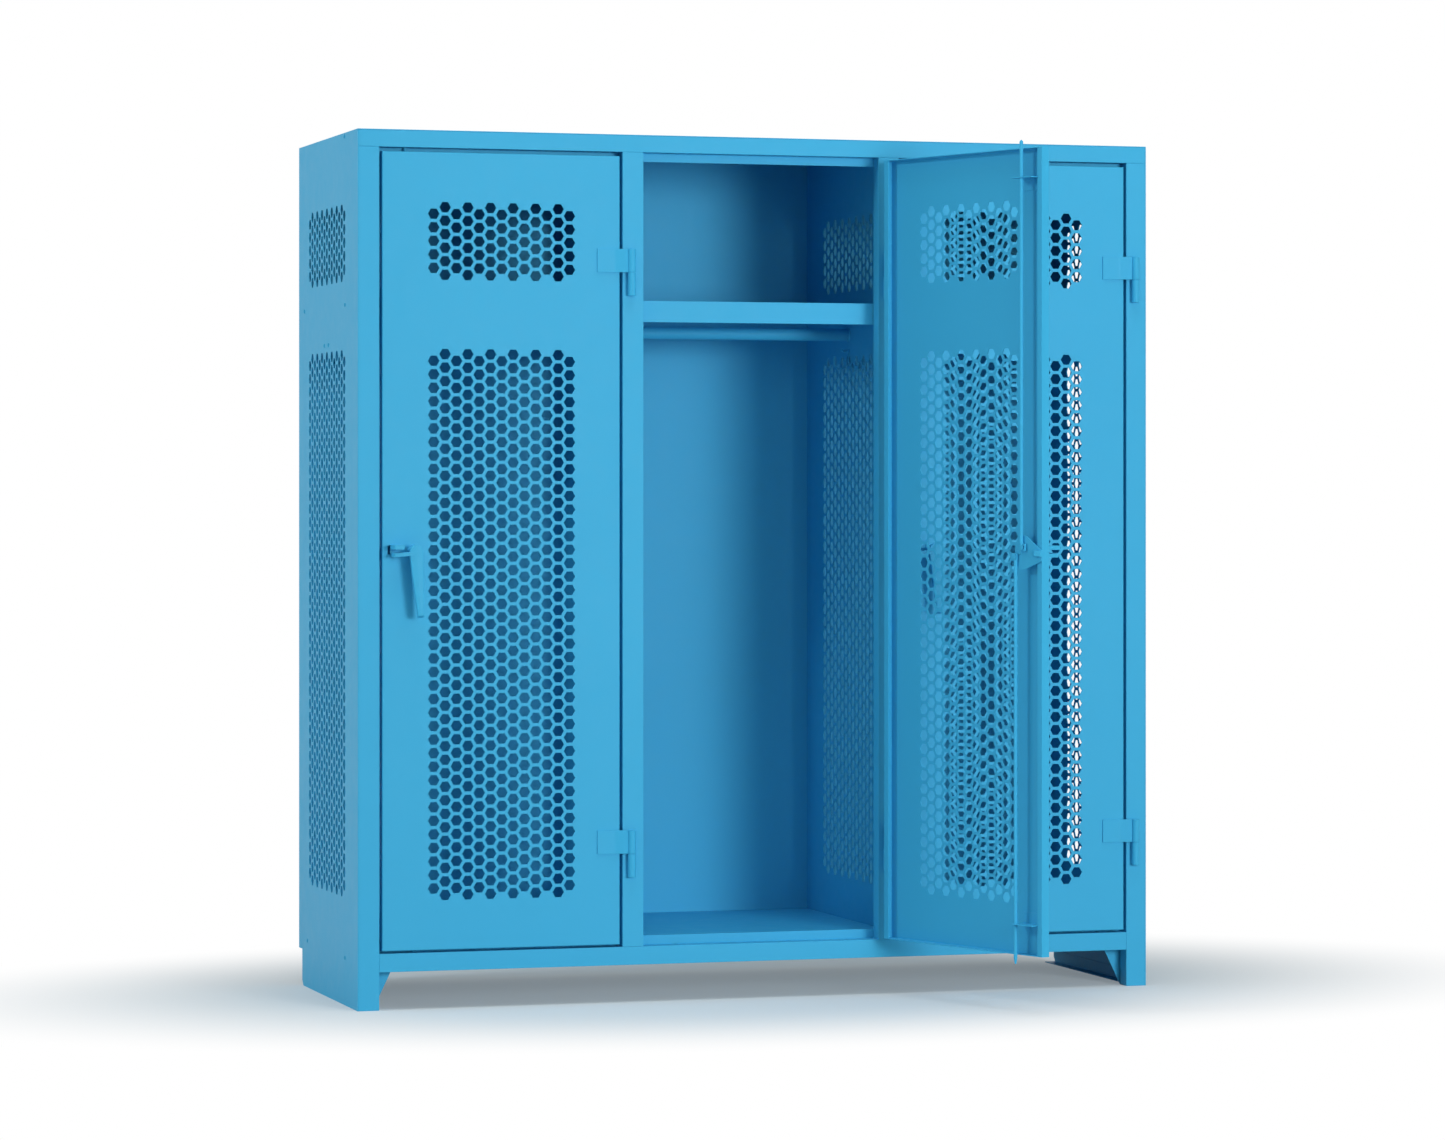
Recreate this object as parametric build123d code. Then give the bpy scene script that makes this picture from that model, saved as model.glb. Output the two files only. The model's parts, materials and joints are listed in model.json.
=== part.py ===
from build123d import *
import math
import os

# A ventilated steel locker with three bays, in millimetres.
# X runs to the right along the front, Y to the back, Z up.
# The origin is on the floor, under the middle of the case.

# Case
bay_count = 3
post_width = 47.625
bay_opening = 546.1
case_height = 1905.0
case_depth = 609.6
case_sheet = 2.0

# Front frame
header_height = 38.1
rail_bottom_height = 82.5
rail_height = 40.0
frame_return = 37.0
stop_drop = 18.5
stop_rise = 20.5
rail_lower_return = 25.0

# Sheets behind the frame
floor_height = 140.0
floor_flange = 30.0
divider_offset = 8.0
rear_notch_depth = 35.0
rear_notch_height = 82.5
rear_notch_chamfer = 12.0
side_vent_offset = 8.2
divider_vent_offset = -6.8

# Feet
gusset_setback = 45.0
gusset_foot_width = 43.0
gusset_top_width = 83.0
foot_flange_width = 27.0
anchor_hole_radius = 6.5
anchor_inset = 16.0
anchor_from_face = 90.0

# Shelf, coat rod and hooks
shelf_below_top = 362.5
shelf_front_setback = 3.0
shelf_lip = 47.0
shelf_hem = 12.0
shelf_side_flange = 25.0
coat_rod_radius = 14.0
coat_rod_below_shelf = 61.5
hook_thickness = 6.0
hook_plate_height = 30.0
hook_plate_width = 3.0
hook_bar = 5.0
hook_reach = 36.0
hook_top_reach = 17.0
hook_tip_rise = 12.0
hook_drop_below_rod = 34.0
hook_bend_sides = 12

# Door
door_gap_side = 6.35
door_gap_top = 9.5
door_gap_bottom = 5.5
door_sheet = 2.0
door_depth = 22.0
door_lip = 15.0
door_rest_angles = (0.0, 110.0, 0.0)

# Vent pattern: flat topped hexagons in staggered columns
vent_pitch = 122.4
vent_across_flats = 92.8
vent_columns = 3
vent_upper_rows = 2
vent_upper_below_top = 240.0
vent_lower_start = 235.5
vent_below_shelf = 112.0

# Hinges
hinge_barrel_radius = 8.75
hinge_face_gap = 0.4
hinge_axis_from_door = 25.0
hinge_knuckle_height = 51.5
hinge_knuckle_gap = 0.3
hinge_leaf_thickness = 3.0
hinge_leaf_reach = 51.7
hinge_leaf_flat = 41.0
hinge_weld_width = 7.0
hinge_pin_radius = 4.5
hinge_pin_clearance = 0.05
hinge_cap = 5.0
upper_hinge_below_top = 354.5
lower_hinge_height = 275.5

# Turn handle, seen from the front and fully locked, with its lever straight down
handle_from_edge = 66.5
handle_height = 991.5
handle_rest_turn = 4.0
boss_radius = 12.0
boss_depth = 26.0
boss_face_gap = 0.4
lever_top_width = 29.0
lever_tip_width = 11.7
lever_length = 143.0
lever_thickness = 11.0
lever_lift = 11.0
lever_edge_chamfer = 3.0
lever_tip_radius = 2.5
arm_reach = 54.0
arm_top = 0.5
arm_thickness = 8.5
arm_front = 27.0
arm_back = 7.0
arm_hole_radius = 6.0

# Padlock lug beside the handle
lug_inner_end = 18.5
lug_bottom = 5.0
lug_thickness = 9.5
lug_depth = 27.0
lug_hole_radius = 5.0
padlock_from_handle = 42.0
padlock_from_face = 17.0

# Lock behind the door
spindle_width = 6.0
spindle_hole_clearance = 1.0
spindle_fit = 0.05
cam_gap = 1.0
cam_thickness = 3.0
cam_pin_radius = 3.0
cam_pin_throw = 16.0
cam_pin_overhang = 1.0
cam_nose_overhang = 4.0
cam_nose_length = 30.0
cam_nose_depth = 8.0
cam_nose_drop = 14.0
cam_wedge_drop = 4.0
cam_height = 72.0
cam_back_reach = 17.0
cam_screw_flats = 9.0
cam_screw_head = 2.0

# Lock rods
rod_radius = 4.0
rod_from_spindle = 9.5
rod_from_face = 30.5
rod_hole_clearance = 0.4
rod_eye_thickness = 4.0
rod_eye_height = 16.0
rod_eye_inner = 4.8
rod_eye_outer = 23.0
rod_slot_clearance = 0.8
rod_slot_slack = 0.4
rod_seat = 2.0
rod_top_reach = 7.5
rod_bottom_reach = 3.5
guide_from_end = 65.0
guide_inner_reach = 15.0
guide_outer_reach = 50.0
guide_flange = 26.0
guide_thickness = 2.0
guide_leg = 36.0

# Sides of the thin round bars, barrels and guide holes that repeat
small_round_sides = 12

# How far a cut runs past the solid it cuts
overrun = 5.0

# Worked out from the sizes above
case_width = (bay_count + 1) * post_width + bay_count * bay_opening
left_face = -case_width / 2
right_face = case_width / 2
front_face = -case_depth / 2
back_face = case_depth / 2
frame_back = front_face + frame_return
header_bottom = case_height - header_height
rail_top = rail_bottom_height + rail_height
sheet_top = case_height - case_sheet
door_width = bay_opening - 2 * door_gap_side
door_bottom = rail_top + door_gap_bottom
door_top = header_bottom - door_gap_top
shelf_top_height = case_height - shelf_below_top
coat_rod_height = shelf_top_height - coat_rod_below_shelf
upper_hinge_height = case_height - upper_hinge_below_top
anchor_from_centre = case_depth / 2 - anchor_from_face
side_vent_centre = case_depth / 2 + side_vent_offset
divider_vent_centre = case_depth / 2 + divider_vent_offset
hinge_axis_depth = front_face - hinge_barrel_radius - hinge_face_gap
vent_column_spacing = vent_pitch * math.sqrt(3) / 2
cam_front = front_face + door_depth + cam_gap
cam_back = cam_front + cam_thickness
bays = range(bay_count)
bay_names = ("left", "middle", "right")
parts = {}


def post_start(index):
    """Left edge of an upright of the front frame."""
    return left_face + index * (post_width + bay_opening)


def bay_start(index):
    """Left edge of a door opening."""
    return post_start(index) + post_width


def divider_middle(index):
    """Middle of the sheet behind an inner upright."""
    return post_start(index) + post_width / 2 + divider_offset


def bay_walls(index):
    """Inner faces of the sheets on either side of a bay."""
    left = left_face + case_sheet
    right = right_face - case_sheet
    if index > 0:
        left = divider_middle(index) + case_sheet / 2
    if index < bay_count - 1:
        right = divider_middle(index + 1) - case_sheet / 2
    return left, right


def block(x_span, y_span, z_span):
    """A box between two values on each axis."""
    size = [high - low for low, high in (x_span, y_span, z_span)]
    middle = [(high + low) / 2 for low, high in (x_span, y_span, z_span)]
    return Pos(*middle) * Box(*size)


def rod_between(start, end, radius):
    """A round bar from one point to another."""
    start = Vector(*start)
    end = Vector(*end)
    plane = Plane(origin=start, z_dir=end - start)
    return extrude(plane * Circle(radius), amount=(end - start).length)


def many_sided(start, end, radius, hole=False):
    """A thin round bar with few sides, or the cut for a hole that such a bar passes."""
    start = Vector(*start)
    end = Vector(*end)
    plane = Plane(origin=start, z_dir=end - start)
    section = RegularPolygon(radius, small_round_sides, major_radius=not hole)
    return extrude(plane * section, amount=(end - start).length)


def outline_plate(plane, points, thickness, holes=()):
    """A flat plate with a straight-sided outline, and holes of the same kind."""
    def loop(corners):
        return Wire.make_polygon([plane.from_local_coords(Vector(*corner, 0)) for corner in corners])
    face = Face(loop(points), [loop(hole) for hole in holes])
    return extrude(face, amount=thickness, dir=plane.z_dir)


def hexagon(across, up):
    """Corners of one flat topped vent hole."""
    corner_radius = vent_across_flats / math.sqrt(3)
    turns = [math.tau * corner / 6 for corner in range(6)]
    return [(across + corner_radius * math.cos(turn), up + corner_radius * math.sin(turn)) for turn in turns]


def vent_fields():
    """The middle height of each field of holes, above and below the shelf, and the rows in its long columns."""
    lower_end = shelf_top_height - vent_below_shelf
    lower_rows = math.floor((lower_end - vent_lower_start - vent_across_flats) / vent_pitch) + 1
    lower_centre = (vent_lower_start + lower_end) / 2
    return (case_height - vent_upper_below_top, vent_upper_rows), (lower_centre, lower_rows)


def vent_holes(across_middle, base):
    """The upper and lower fields of holes, with every second column one row longer."""
    holes = []
    for centre, long_rows in vent_fields():
        for column in range(vent_columns):
            across = across_middle + (column - (vent_columns - 1) / 2) * vent_column_spacing
            rows = long_rows - 1 + column % 2
            for row in range(rows):
                up = centre - base + (row - (rows - 1) / 2) * vent_pitch
                holes.append(hexagon(across, up))
    return holes


def side_panel(outer_face, outward):
    """An outer side sheet, notched at the lower rear corner."""
    start = outer_face if outward < 0 else outer_face - case_sheet
    plane = Plane(origin=(start, front_face, 0), x_dir=(0, 1, 0), z_dir=(1, 0, 0))
    notch = case_depth - rear_notch_depth
    outline = [
        (0, 0), (notch - rear_notch_chamfer, 0), (notch, rear_notch_chamfer), (notch, rear_notch_height),
        (case_depth, rear_notch_height), (case_depth, sheet_top), (0, sheet_top),
    ]
    return outline_plate(plane, outline, case_sheet, vent_holes(side_vent_centre, 0))


def divider(index):
    """A sheet between two bays, seated inside the upright and behind the header."""
    start = divider_middle(index) - case_sheet / 2
    plane = Plane(origin=(start, front_face, floor_height), x_dir=(0, 1, 0), z_dir=(1, 0, 0))
    header_seat = header_bottom - floor_height
    top = sheet_top - floor_height
    rear = case_depth - case_sheet
    outline = [
        (case_sheet, 0), (rear, 0), (rear, top), (frame_return, top), (frame_return, header_seat),
        (case_sheet, header_seat),
    ]
    return outline_plate(plane, outline, case_sheet, vent_holes(divider_vent_centre, floor_height))


def end_post(index):
    """An outer upright: a front face and a return beside the door."""
    start = post_start(index)
    end = start + post_width
    first = index == 0
    face_span = (start + case_sheet, end) if first else (start, end - case_sheet)
    return_span = (end - case_sheet, end) if first else (start, start + case_sheet)
    face = block(face_span, (front_face, front_face + case_sheet), (0, header_bottom))
    return face + block(return_span, (front_face, frame_back), (0, header_bottom))


def mullion(index):
    """An inner upright: a channel that stands on the bottom rail."""
    start = post_start(index)
    end = start + post_width
    outer = block((start, end), (front_face, frame_back), (rail_top, header_bottom))
    inner = block(
        (start + case_sheet, end - case_sheet),
        (front_face + case_sheet, frame_back + overrun),
        (rail_top - overrun, header_bottom + overrun),
    )
    return outer - inner


def header():
    """The beam over the doors."""
    span = (left_face + case_sheet, right_face - case_sheet)
    beam = block(span, (front_face, front_face + case_sheet), (header_bottom, sheet_top))
    return beam + block(span, (front_face, frame_back), (header_bottom, header_bottom + case_sheet))


def stop_strip(index, heights):
    """A strip behind the upper or lower edge of a door."""
    start = bay_start(index)
    return block((start, start + bay_opening), (frame_back - case_sheet, frame_back), heights)


def bottom_rail():
    """The beam under the doors."""
    span = (bay_start(0), post_start(bay_count))
    top_return = (rail_top - case_sheet, rail_top)
    lower_return = (rail_bottom_height, rail_bottom_height + case_sheet)
    beam = block(span, (front_face, front_face + case_sheet), (rail_bottom_height, rail_top))
    beam += block(span, (front_face, frame_back), top_return)
    return beam + block(span, (front_face, front_face + rail_lower_return), lower_return)


def top_panel():
    return block((left_face, right_face), (front_face, back_face), (sheet_top, case_height))


def back_panel():
    return block(
        (left_face + case_sheet, right_face - case_sheet),
        (back_face - case_sheet, back_face),
        (rear_notch_height, sheet_top),
    )


def floor_panel():
    """The floor of the bays, turned down along both sides."""
    span = (left_face + case_sheet, right_face - case_sheet)
    depth = (frame_back, back_face - case_sheet)
    panel = block(span, depth, (floor_height - case_sheet, floor_height))
    gusset_back = front_face + gusset_setback + case_sheet
    for start in (span[0], span[1] - case_sheet):
        panel += block(
            (start, start + case_sheet),
            (gusset_back, depth[1]),
            (floor_height - floor_flange, floor_height),
        )
    return panel


def leg_gusset(side):
    """A plate across the corner behind a front leg."""
    plane = Plane(
        origin=(side * (case_width / 2 - case_sheet), front_face + gusset_setback, 0),
        x_dir=(-side, 0, 0),
        z_dir=(0, side, 0),
    )
    top = floor_height - case_sheet
    outline = [(0, 0), (gusset_foot_width, 0), (gusset_top_width, rail_bottom_height), (gusset_top_width, top), (0, top)]
    plate = outline_plate(plane, outline, case_sheet)
    if side < 0:
        plate = Pos(0, case_sheet, 0) * plate
    return plate


def foot_angle(side):
    """The angle along the bottom of a side sheet, with two anchor holes."""
    inner = side * (case_width / 2 - case_sheet)
    start = front_face + gusset_setback + case_sheet
    end = back_face - rear_notch_depth - rear_notch_chamfer
    flat_span = sorted((inner, inner - side * foot_flange_width))
    wall_span = sorted((inner, inner - side * case_sheet))
    angle = block(flat_span, (start, end), (0, case_sheet))
    angle += block(wall_span, (start, end), (0, foot_flange_width))
    for place in (-anchor_from_centre, anchor_from_centre):
        x = side * (case_width / 2 - anchor_inset)
        angle -= rod_between((x, place, -overrun), (x, place, overrun), anchor_hole_radius)
    return angle


def shelf(index):
    """A shelf with a deep front lip, hemmed behind, and turned down at both sides."""
    left, right = bay_walls(index)
    front = frame_back + shelf_front_setback
    rear = back_face - case_sheet
    lip_bottom = shelf_top_height - shelf_lip
    panel = block((left, right), (front, rear), (shelf_top_height - case_sheet, shelf_top_height))
    panel += block((left, right), (front, front + case_sheet), (lip_bottom, shelf_top_height))
    panel += block((left, right), (front, front + shelf_hem), (lip_bottom, lip_bottom + case_sheet))
    for start in (left, right - case_sheet):
        panel += block(
            (start, start + case_sheet),
            (front, rear),
            (shelf_top_height - shelf_side_flange, shelf_top_height),
        )
    return panel


def coat_rod(index):
    left, right = bay_walls(index)
    return rod_between((left, 0, coat_rod_height), (right, 0, coat_rod_height), coat_rod_radius)


def coat_hook(wall, outward):
    """One double hook: a wall plate, a short upper prong and a long lower prong."""
    top = coat_rod_height - coat_rod_radius - hook_drop_below_rod + hook_plate_height / 2
    plane = Plane(origin=(wall, hook_thickness / 2, top), x_dir=(outward, 0, 0), z_dir=(0, -outward, 0))
    bend = (hook_reach - hook_plate_width - hook_bar) / 2
    bend_middle = hook_plate_width + bend
    plate = Pos(hook_plate_width / 2, -hook_plate_height / 2) * Rectangle(hook_plate_width, hook_plate_height)
    upper = Pos(hook_top_reach / 2, -hook_bar / 2) * Rectangle(hook_top_reach, hook_bar)
    outer_bend = RegularPolygon(bend + hook_bar / 2, hook_bend_sides)
    ring = Pos(bend_middle, -hook_plate_height) * (outer_bend - RegularPolygon(bend - hook_bar / 2, hook_bend_sides))
    half = Pos(bend_middle, -hook_plate_height - hook_reach / 2) * Rectangle(2 * hook_reach, hook_reach)
    tip = Pos(bend_middle + bend, -hook_plate_height + hook_tip_rise / 2) * Rectangle(hook_bar, hook_tip_rise)
    root = Pos(bend_middle - bend, -hook_plate_height + hook_bar / 2) * Rectangle(hook_bar, hook_bar)
    profile = plate + upper + (ring & half) + tip + root
    return extrude(plane * profile, amount=hook_thickness, dir=(0, -1, 0))


def coat_hooks():
    hooks = []
    for index in bays:
        left, right = bay_walls(index)
        hooks += [coat_hook(left, 1), coat_hook(right, -1)]
    return hooks


def hinge_axis(index):
    """Where the hinge axis of a door crosses the floor plan."""
    return bay_start(index) + door_gap_side + door_width + hinge_axis_from_door, hinge_axis_depth


def hinge_heights():
    return lower_hinge_height, upper_hinge_height


def knuckle_barrel(index, low, high):
    x, y = hinge_axis(index)
    return many_sided((x, y, low), (x, y, high), hinge_barrel_radius)


def frame_knuckle(index, low):
    """The lower half of a hinge, welded to the upright, with its pin standing up."""
    x, y = hinge_axis(index)
    high = low + hinge_knuckle_height
    weld = block((x - hinge_weld_width / 2, x + hinge_weld_width / 2), (y, front_face), (low, high))
    pin = rod_between((x, y, high), (x, y, high + hinge_knuckle_height - hinge_cap), hinge_pin_radius)
    return knuckle_barrel(index, low, high) + weld + pin


def hinge_leaf(index, low):
    """The upper half of a hinge: a leaf on the door face, bent out to a knuckle that lifts off its pin."""
    x, y = hinge_axis(index)
    bottom = low + hinge_knuckle_height + hinge_knuckle_gap
    top = bottom + hinge_knuckle_height
    door_edge = x - hinge_axis_from_door
    leaf_start = door_edge - hinge_leaf_reach
    bend = leaf_start + hinge_leaf_flat
    outer = front_face - hinge_leaf_thickness
    plane = Plane(origin=(0, 0, bottom), x_dir=(1, 0, 0), z_dir=(0, 0, 1))
    outline = [
        (leaf_start, front_face), (bend, front_face), (x, y + hinge_leaf_thickness), (x, y), (bend, outer),
        (leaf_start, outer),
    ]
    leaf = outline_plate(plane, outline, top - bottom) + knuckle_barrel(index, bottom, top)
    return leaf - rod_between((x, y, bottom - overrun), (x, y, top - hinge_cap), hinge_pin_radius + hinge_pin_clearance)


def handle_axis(index):
    """Where the spindle of a lock crosses the front face."""
    return bay_start(index) + door_gap_side + handle_from_edge


def door_panel(index):
    """A door: a vented front sheet, turned back all round, with a lip along both upright edges."""
    left = bay_start(index) + door_gap_side
    right = left + door_width
    plane = Plane(origin=(left, front_face + door_sheet, door_bottom), x_dir=(1, 0, 0), z_dir=(0, -1, 0))
    height = door_top - door_bottom
    corners = [(0, 0), (door_width, 0), (door_width, height), (0, height)]
    sheet = outline_plate(plane, corners, door_sheet, vent_holes(door_width / 2, door_bottom))
    back = front_face + door_depth
    rim = block((left, right), (front_face + door_sheet, back), (door_bottom, door_top))
    rim -= block(
        (left + door_sheet, right - door_sheet),
        (front_face, back - door_sheet),
        (door_bottom + door_sheet, door_top - door_sheet),
    )
    rim -= block(
        (left + door_lip, right - door_lip),
        (front_face, back + overrun),
        (door_bottom + door_sheet, door_top - door_sheet),
    )
    panel = sheet + rim
    x = handle_axis(index)
    spindle_hole = spindle_width / math.sqrt(2) + spindle_hole_clearance
    spindle_ends = [(x, front_face + place, handle_height) for place in (-overrun, overrun)]
    panel -= many_sided(*spindle_ends, spindle_hole, hole=True)
    return panel


def rod_guide(index, side):
    """An angle on the back of the door sheet that a lock rod slides through."""
    axis = handle_axis(index)
    x = axis - side * rod_from_spindle
    leg_low = door_top - guide_from_end if side > 0 else door_bottom + guide_from_end
    inner = front_face + door_sheet
    span = (axis - guide_outer_reach, axis + guide_inner_reach)
    flange_end = leg_low - side * guide_flange
    flange_heights = sorted((leg_low + (guide_thickness if side > 0 else 0), flange_end))
    guide = block(span, (inner, inner + guide_thickness), flange_heights)
    guide += block(span, (inner, inner + guide_leg), (leg_low, leg_low + guide_thickness))
    y = front_face + rod_from_face
    hole = rod_radius + rod_hole_clearance
    return guide - many_sided((x, y, leg_low - guide_flange), (x, y, leg_low + guide_flange), hole, hole=True)


def padlock_lug(index):
    """The fixed bar beside the handle, with the upper padlock hole."""
    x = handle_axis(index)
    heights = (handle_height + lug_bottom, handle_height + lug_bottom + lug_thickness)
    bar = block((x - arm_reach, x - lug_inner_end), (front_face - lug_depth, front_face), heights)
    place = (x - padlock_from_handle, front_face - padlock_from_face)
    hole = rod_between((*place, heights[0] - overrun), (*place, heights[1] + overrun), lug_hole_radius)
    return bar - hole


def lever_handle(index):
    """The lever, its boss and the arm with the lower padlock hole, as one casting."""
    x = handle_axis(index)
    boss_front = front_face - boss_depth
    boss = rod_between(
        (x, front_face - boss_face_gap, handle_height),
        (x, boss_front - lever_thickness / 2, handle_height),
        boss_radius,
    )
    top_radius = lever_top_width / 2
    tip_radius = lever_tip_width / 2
    straight = lever_length - lever_tip_radius
    plane = Plane(origin=(x, boss_front, handle_height), x_dir=(1, 0, 0), z_dir=(0, -1, 0))
    with BuildSketch(plane) as front_view:
        with BuildLine():
            Line((-top_radius, 0), (-tip_radius, -straight))
            Line((-tip_radius, -straight), (-tip_radius + lever_tip_radius, -lever_length))
            Line((-tip_radius + lever_tip_radius, -lever_length), (tip_radius - lever_tip_radius, -lever_length))
            Line((tip_radius - lever_tip_radius, -lever_length), (tip_radius, -straight))
            Line((tip_radius, -straight), (top_radius, 0))
            ThreePointArc((top_radius, 0), (0, top_radius), (-top_radius, 0))
        make_face()
    reach = lever_thickness + lever_lift
    paddle = extrude(front_view.sketch, amount=reach, dir=(0, -1, 0))
    side_plane = Plane(origin=(x + lever_top_width, front_face, handle_height), x_dir=(0, -1, 0), z_dir=(-1, 0, 0))
    low = -lever_length - overrun
    side_view = [
        (boss_depth, top_radius + overrun), (boss_depth, -boss_radius),
        (boss_depth + lever_lift, low), (boss_depth + reach, low),
        (boss_depth + lever_thickness, -boss_radius), (boss_depth + lever_thickness, top_radius + overrun),
    ]
    paddle = paddle & outline_plate(side_plane, side_view, 2 * lever_top_width)
    outer_edges = paddle.edges().filter_by(lambda edge: edge.center().Y < boss_front - lever_thickness + overrun / 2)
    long_edges = [edge for edge in outer_edges if edge.length > lever_length / 2]
    paddle = chamfer(long_edges, lever_edge_chamfer)
    arm = block(
        (x - arm_reach, x),
        (front_face - arm_front, front_face - arm_back),
        (handle_height + arm_top - arm_thickness, handle_height + arm_top),
    )
    place = (x - padlock_from_handle, front_face - padlock_from_face)
    arm_hole_ends = [(*place, handle_height - arm_thickness - overrun), (*place, handle_height + overrun)]
    arm -= many_sided(*arm_hole_ends, arm_hole_radius, hole=True)
    return boss + paddle + arm


def square_bar(index, depths, width):
    """A square bar on the spindle's axis."""
    x = handle_axis(index)
    return block((x - width / 2, x + width / 2), depths, (handle_height - width / 2, handle_height + width / 2))


def lock_spindle(index):
    return square_bar(index, (front_face - boss_face_gap, cam_back), spindle_width)


def lock_cam(index):
    """The plate on the spindle, with a wedge nose for the upright and a pin for each rod."""
    x = handle_axis(index)
    nose = handle_from_edge + cam_nose_overhang
    half = cam_height / 2
    plane = Plane(origin=(x, cam_back, handle_height), x_dir=(1, 0, 0), z_dir=(0, -1, 0))
    outline = [
        (cam_back_reach, -half + cam_back_reach), (cam_back_reach, half - cam_back_reach), (0, half),
        (-cam_back_reach, half), (-nose, cam_nose_depth), (-nose, -cam_nose_drop), (-cam_back_reach, -half), (0, -half),
    ]
    plate = outline_plate(plane, outline, cam_thickness)
    wedge_plane = Plane(origin=(x - nose, cam_back, handle_height - cam_wedge_drop), x_dir=(1, 0, 0), z_dir=(0, 0, 1))
    wedge_outline = [(0, 0), (cam_nose_length, 0), (cam_nose_length / 2, cam_nose_depth), (0, cam_nose_depth / 2)]
    plate += outline_plate(wedge_plane, wedge_outline, cam_wedge_drop + cam_nose_depth)
    offset = cam_pin_throw * math.sqrt(2) / 2
    pin_end = front_face + rod_from_face + rod_eye_thickness / 2 + cam_pin_overhang
    for side in (-1, 1):
        place = x + side * offset
        height = handle_height - side * offset
        plate += many_sided((place, cam_front + cam_thickness / 2, height), (place, pin_end, height), cam_pin_radius)
    return plate - square_bar(index, (cam_front - overrun, cam_back + overrun), spindle_width + 2 * spindle_fit)


def cam_screw(index):
    """The head of the screw that holds the cam on the spindle's end."""
    plane = Plane(origin=(handle_axis(index), cam_back, handle_height), x_dir=(1, 0, 0), z_dir=(0, 1, 0))
    return extrude(plane * RegularPolygon(cam_screw_flats / 2, 6, major_radius=False), amount=cam_screw_head)


def eye_height():
    """Height of the slots in the rod eyes above or below the spindle when the doors are as stored."""
    turned = math.radians(handle_rest_turn)
    return cam_pin_throw * (math.sqrt(2) / 2 - rod_travel_share() * turned)


def rod_travel_share():
    """Steady rod travel for each radian of the handle, as a share of the pin's throw."""
    return math.sqrt(2) / (math.pi / 2)


def lock_rod(index, side):
    """A round rod with a slotted eye at its inner end. Side is 1 for the top rod, -1 for the bottom one."""
    x = handle_axis(index)
    y = front_face + rod_from_face
    eye_middle = handle_height + side * eye_height()
    inner_x = x - side * rod_eye_inner
    outer_x = x - side * rod_eye_outer
    eye_depth = (y - rod_eye_thickness / 2, y + rod_eye_thickness / 2)
    eye_span = (eye_middle - rod_eye_height / 2, eye_middle + rod_eye_height / 2)
    eye = block(sorted((inner_x, outer_x)), eye_depth, eye_span)
    slot_half = cam_pin_radius + rod_slot_clearance
    far = x - side * (cam_pin_throw + rod_slot_slack + slot_half)
    near = x - side * (cam_pin_throw * math.sqrt(2) / 2 - rod_slot_slack - slot_half)
    slot_depth = (eye_depth[0] - overrun, eye_depth[1] + overrun)
    eye -= block(sorted((far, near)), slot_depth, (eye_middle - slot_half, eye_middle + slot_half))
    start = eye_middle + side * (rod_eye_height / 2 - rod_seat)
    end = door_top + rod_top_reach if side > 0 else door_bottom - rod_bottom_reach
    rod_x = x - side * rod_from_spindle
    return many_sided((rod_x, y, start), (rod_x, y, end), rod_radius) + eye


def swing(index, solid):
    """Turn a piece of a door to the angle at which that door is stored."""
    angle = door_rest_angles[index]
    if angle == 0:
        return solid
    x, y = hinge_axis(index)
    return solid.rotate(Axis((x, y, 0), (0, 0, 1)), angle)


def turn_handle(index, solid):
    """Turn a piece of a lock from fully locked to the stored place of its lever."""
    turned = solid.rotate(Axis((handle_axis(index), 0, handle_height), (0, -1, 0)), handle_rest_turn)
    return swing(index, turned)


def add(name, *solids):
    parts[name] = list(solids)


# Case
add("left_side_panel", side_panel(left_face, -1))
add("right_side_panel", side_panel(right_face, 1))
add("left_divider", divider(1))
add("right_divider", divider(2))
add("left_post", end_post(0))
add("right_post", end_post(bay_count))
add("left_mullion", mullion(1))
add("right_mullion", mullion(2))
add("header", header())
add("upper_stops", *[stop_strip(index, (header_bottom - stop_drop, header_bottom)) for index in bays])
add("bottom_rail", bottom_rail())
add("lower_stops", *[stop_strip(index, (rail_top, rail_top + stop_rise)) for index in bays])
add("top_panel", top_panel())
add("back_panel", back_panel())
add("floor_panel", floor_panel())
add("leg_gussets", leg_gusset(-1), leg_gusset(1))
add("left_foot_angle", foot_angle(-1))
add("right_foot_angle", foot_angle(1))
add("coat_hooks", *coat_hooks())

# Bays and doors
for index, name in enumerate(bay_names):
    add(f"{name}_shelf", shelf(index))
    add(f"{name}_coat_rod", coat_rod(index))
    add(f"{name}_frame_knuckles", *[frame_knuckle(index, low) for low in hinge_heights()])
    add(f"{name}_door_panel", swing(index, door_panel(index)))
    add(f"{name}_hinge_leaves", *[swing(index, hinge_leaf(index, low)) for low in hinge_heights()])
    add(f"{name}_padlock_lug", swing(index, padlock_lug(index)))
    add(f"{name}_rod_guides", *[swing(index, rod_guide(index, side)) for side in (1, -1)])
    add(f"{name}_lever_handle", turn_handle(index, lever_handle(index)))
    add(f"{name}_lock_spindle", turn_handle(index, lock_spindle(index)))
    add(f"{name}_lock_cam", turn_handle(index, lock_cam(index)))
    add(f"{name}_cam_screw", turn_handle(index, cam_screw(index)))
    add(f"{name}_top_rod", swing(index, lock_rod(index, 1)))
    add(f"{name}_bottom_rod", swing(index, lock_rod(index, -1)))

os.makedirs("parts", exist_ok=True)
for name, solids in parts.items():
    shape = solids[0] if len(solids) == 1 else Compound(children=solids)
    export_step(shape, f"parts/{name}.step")
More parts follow.
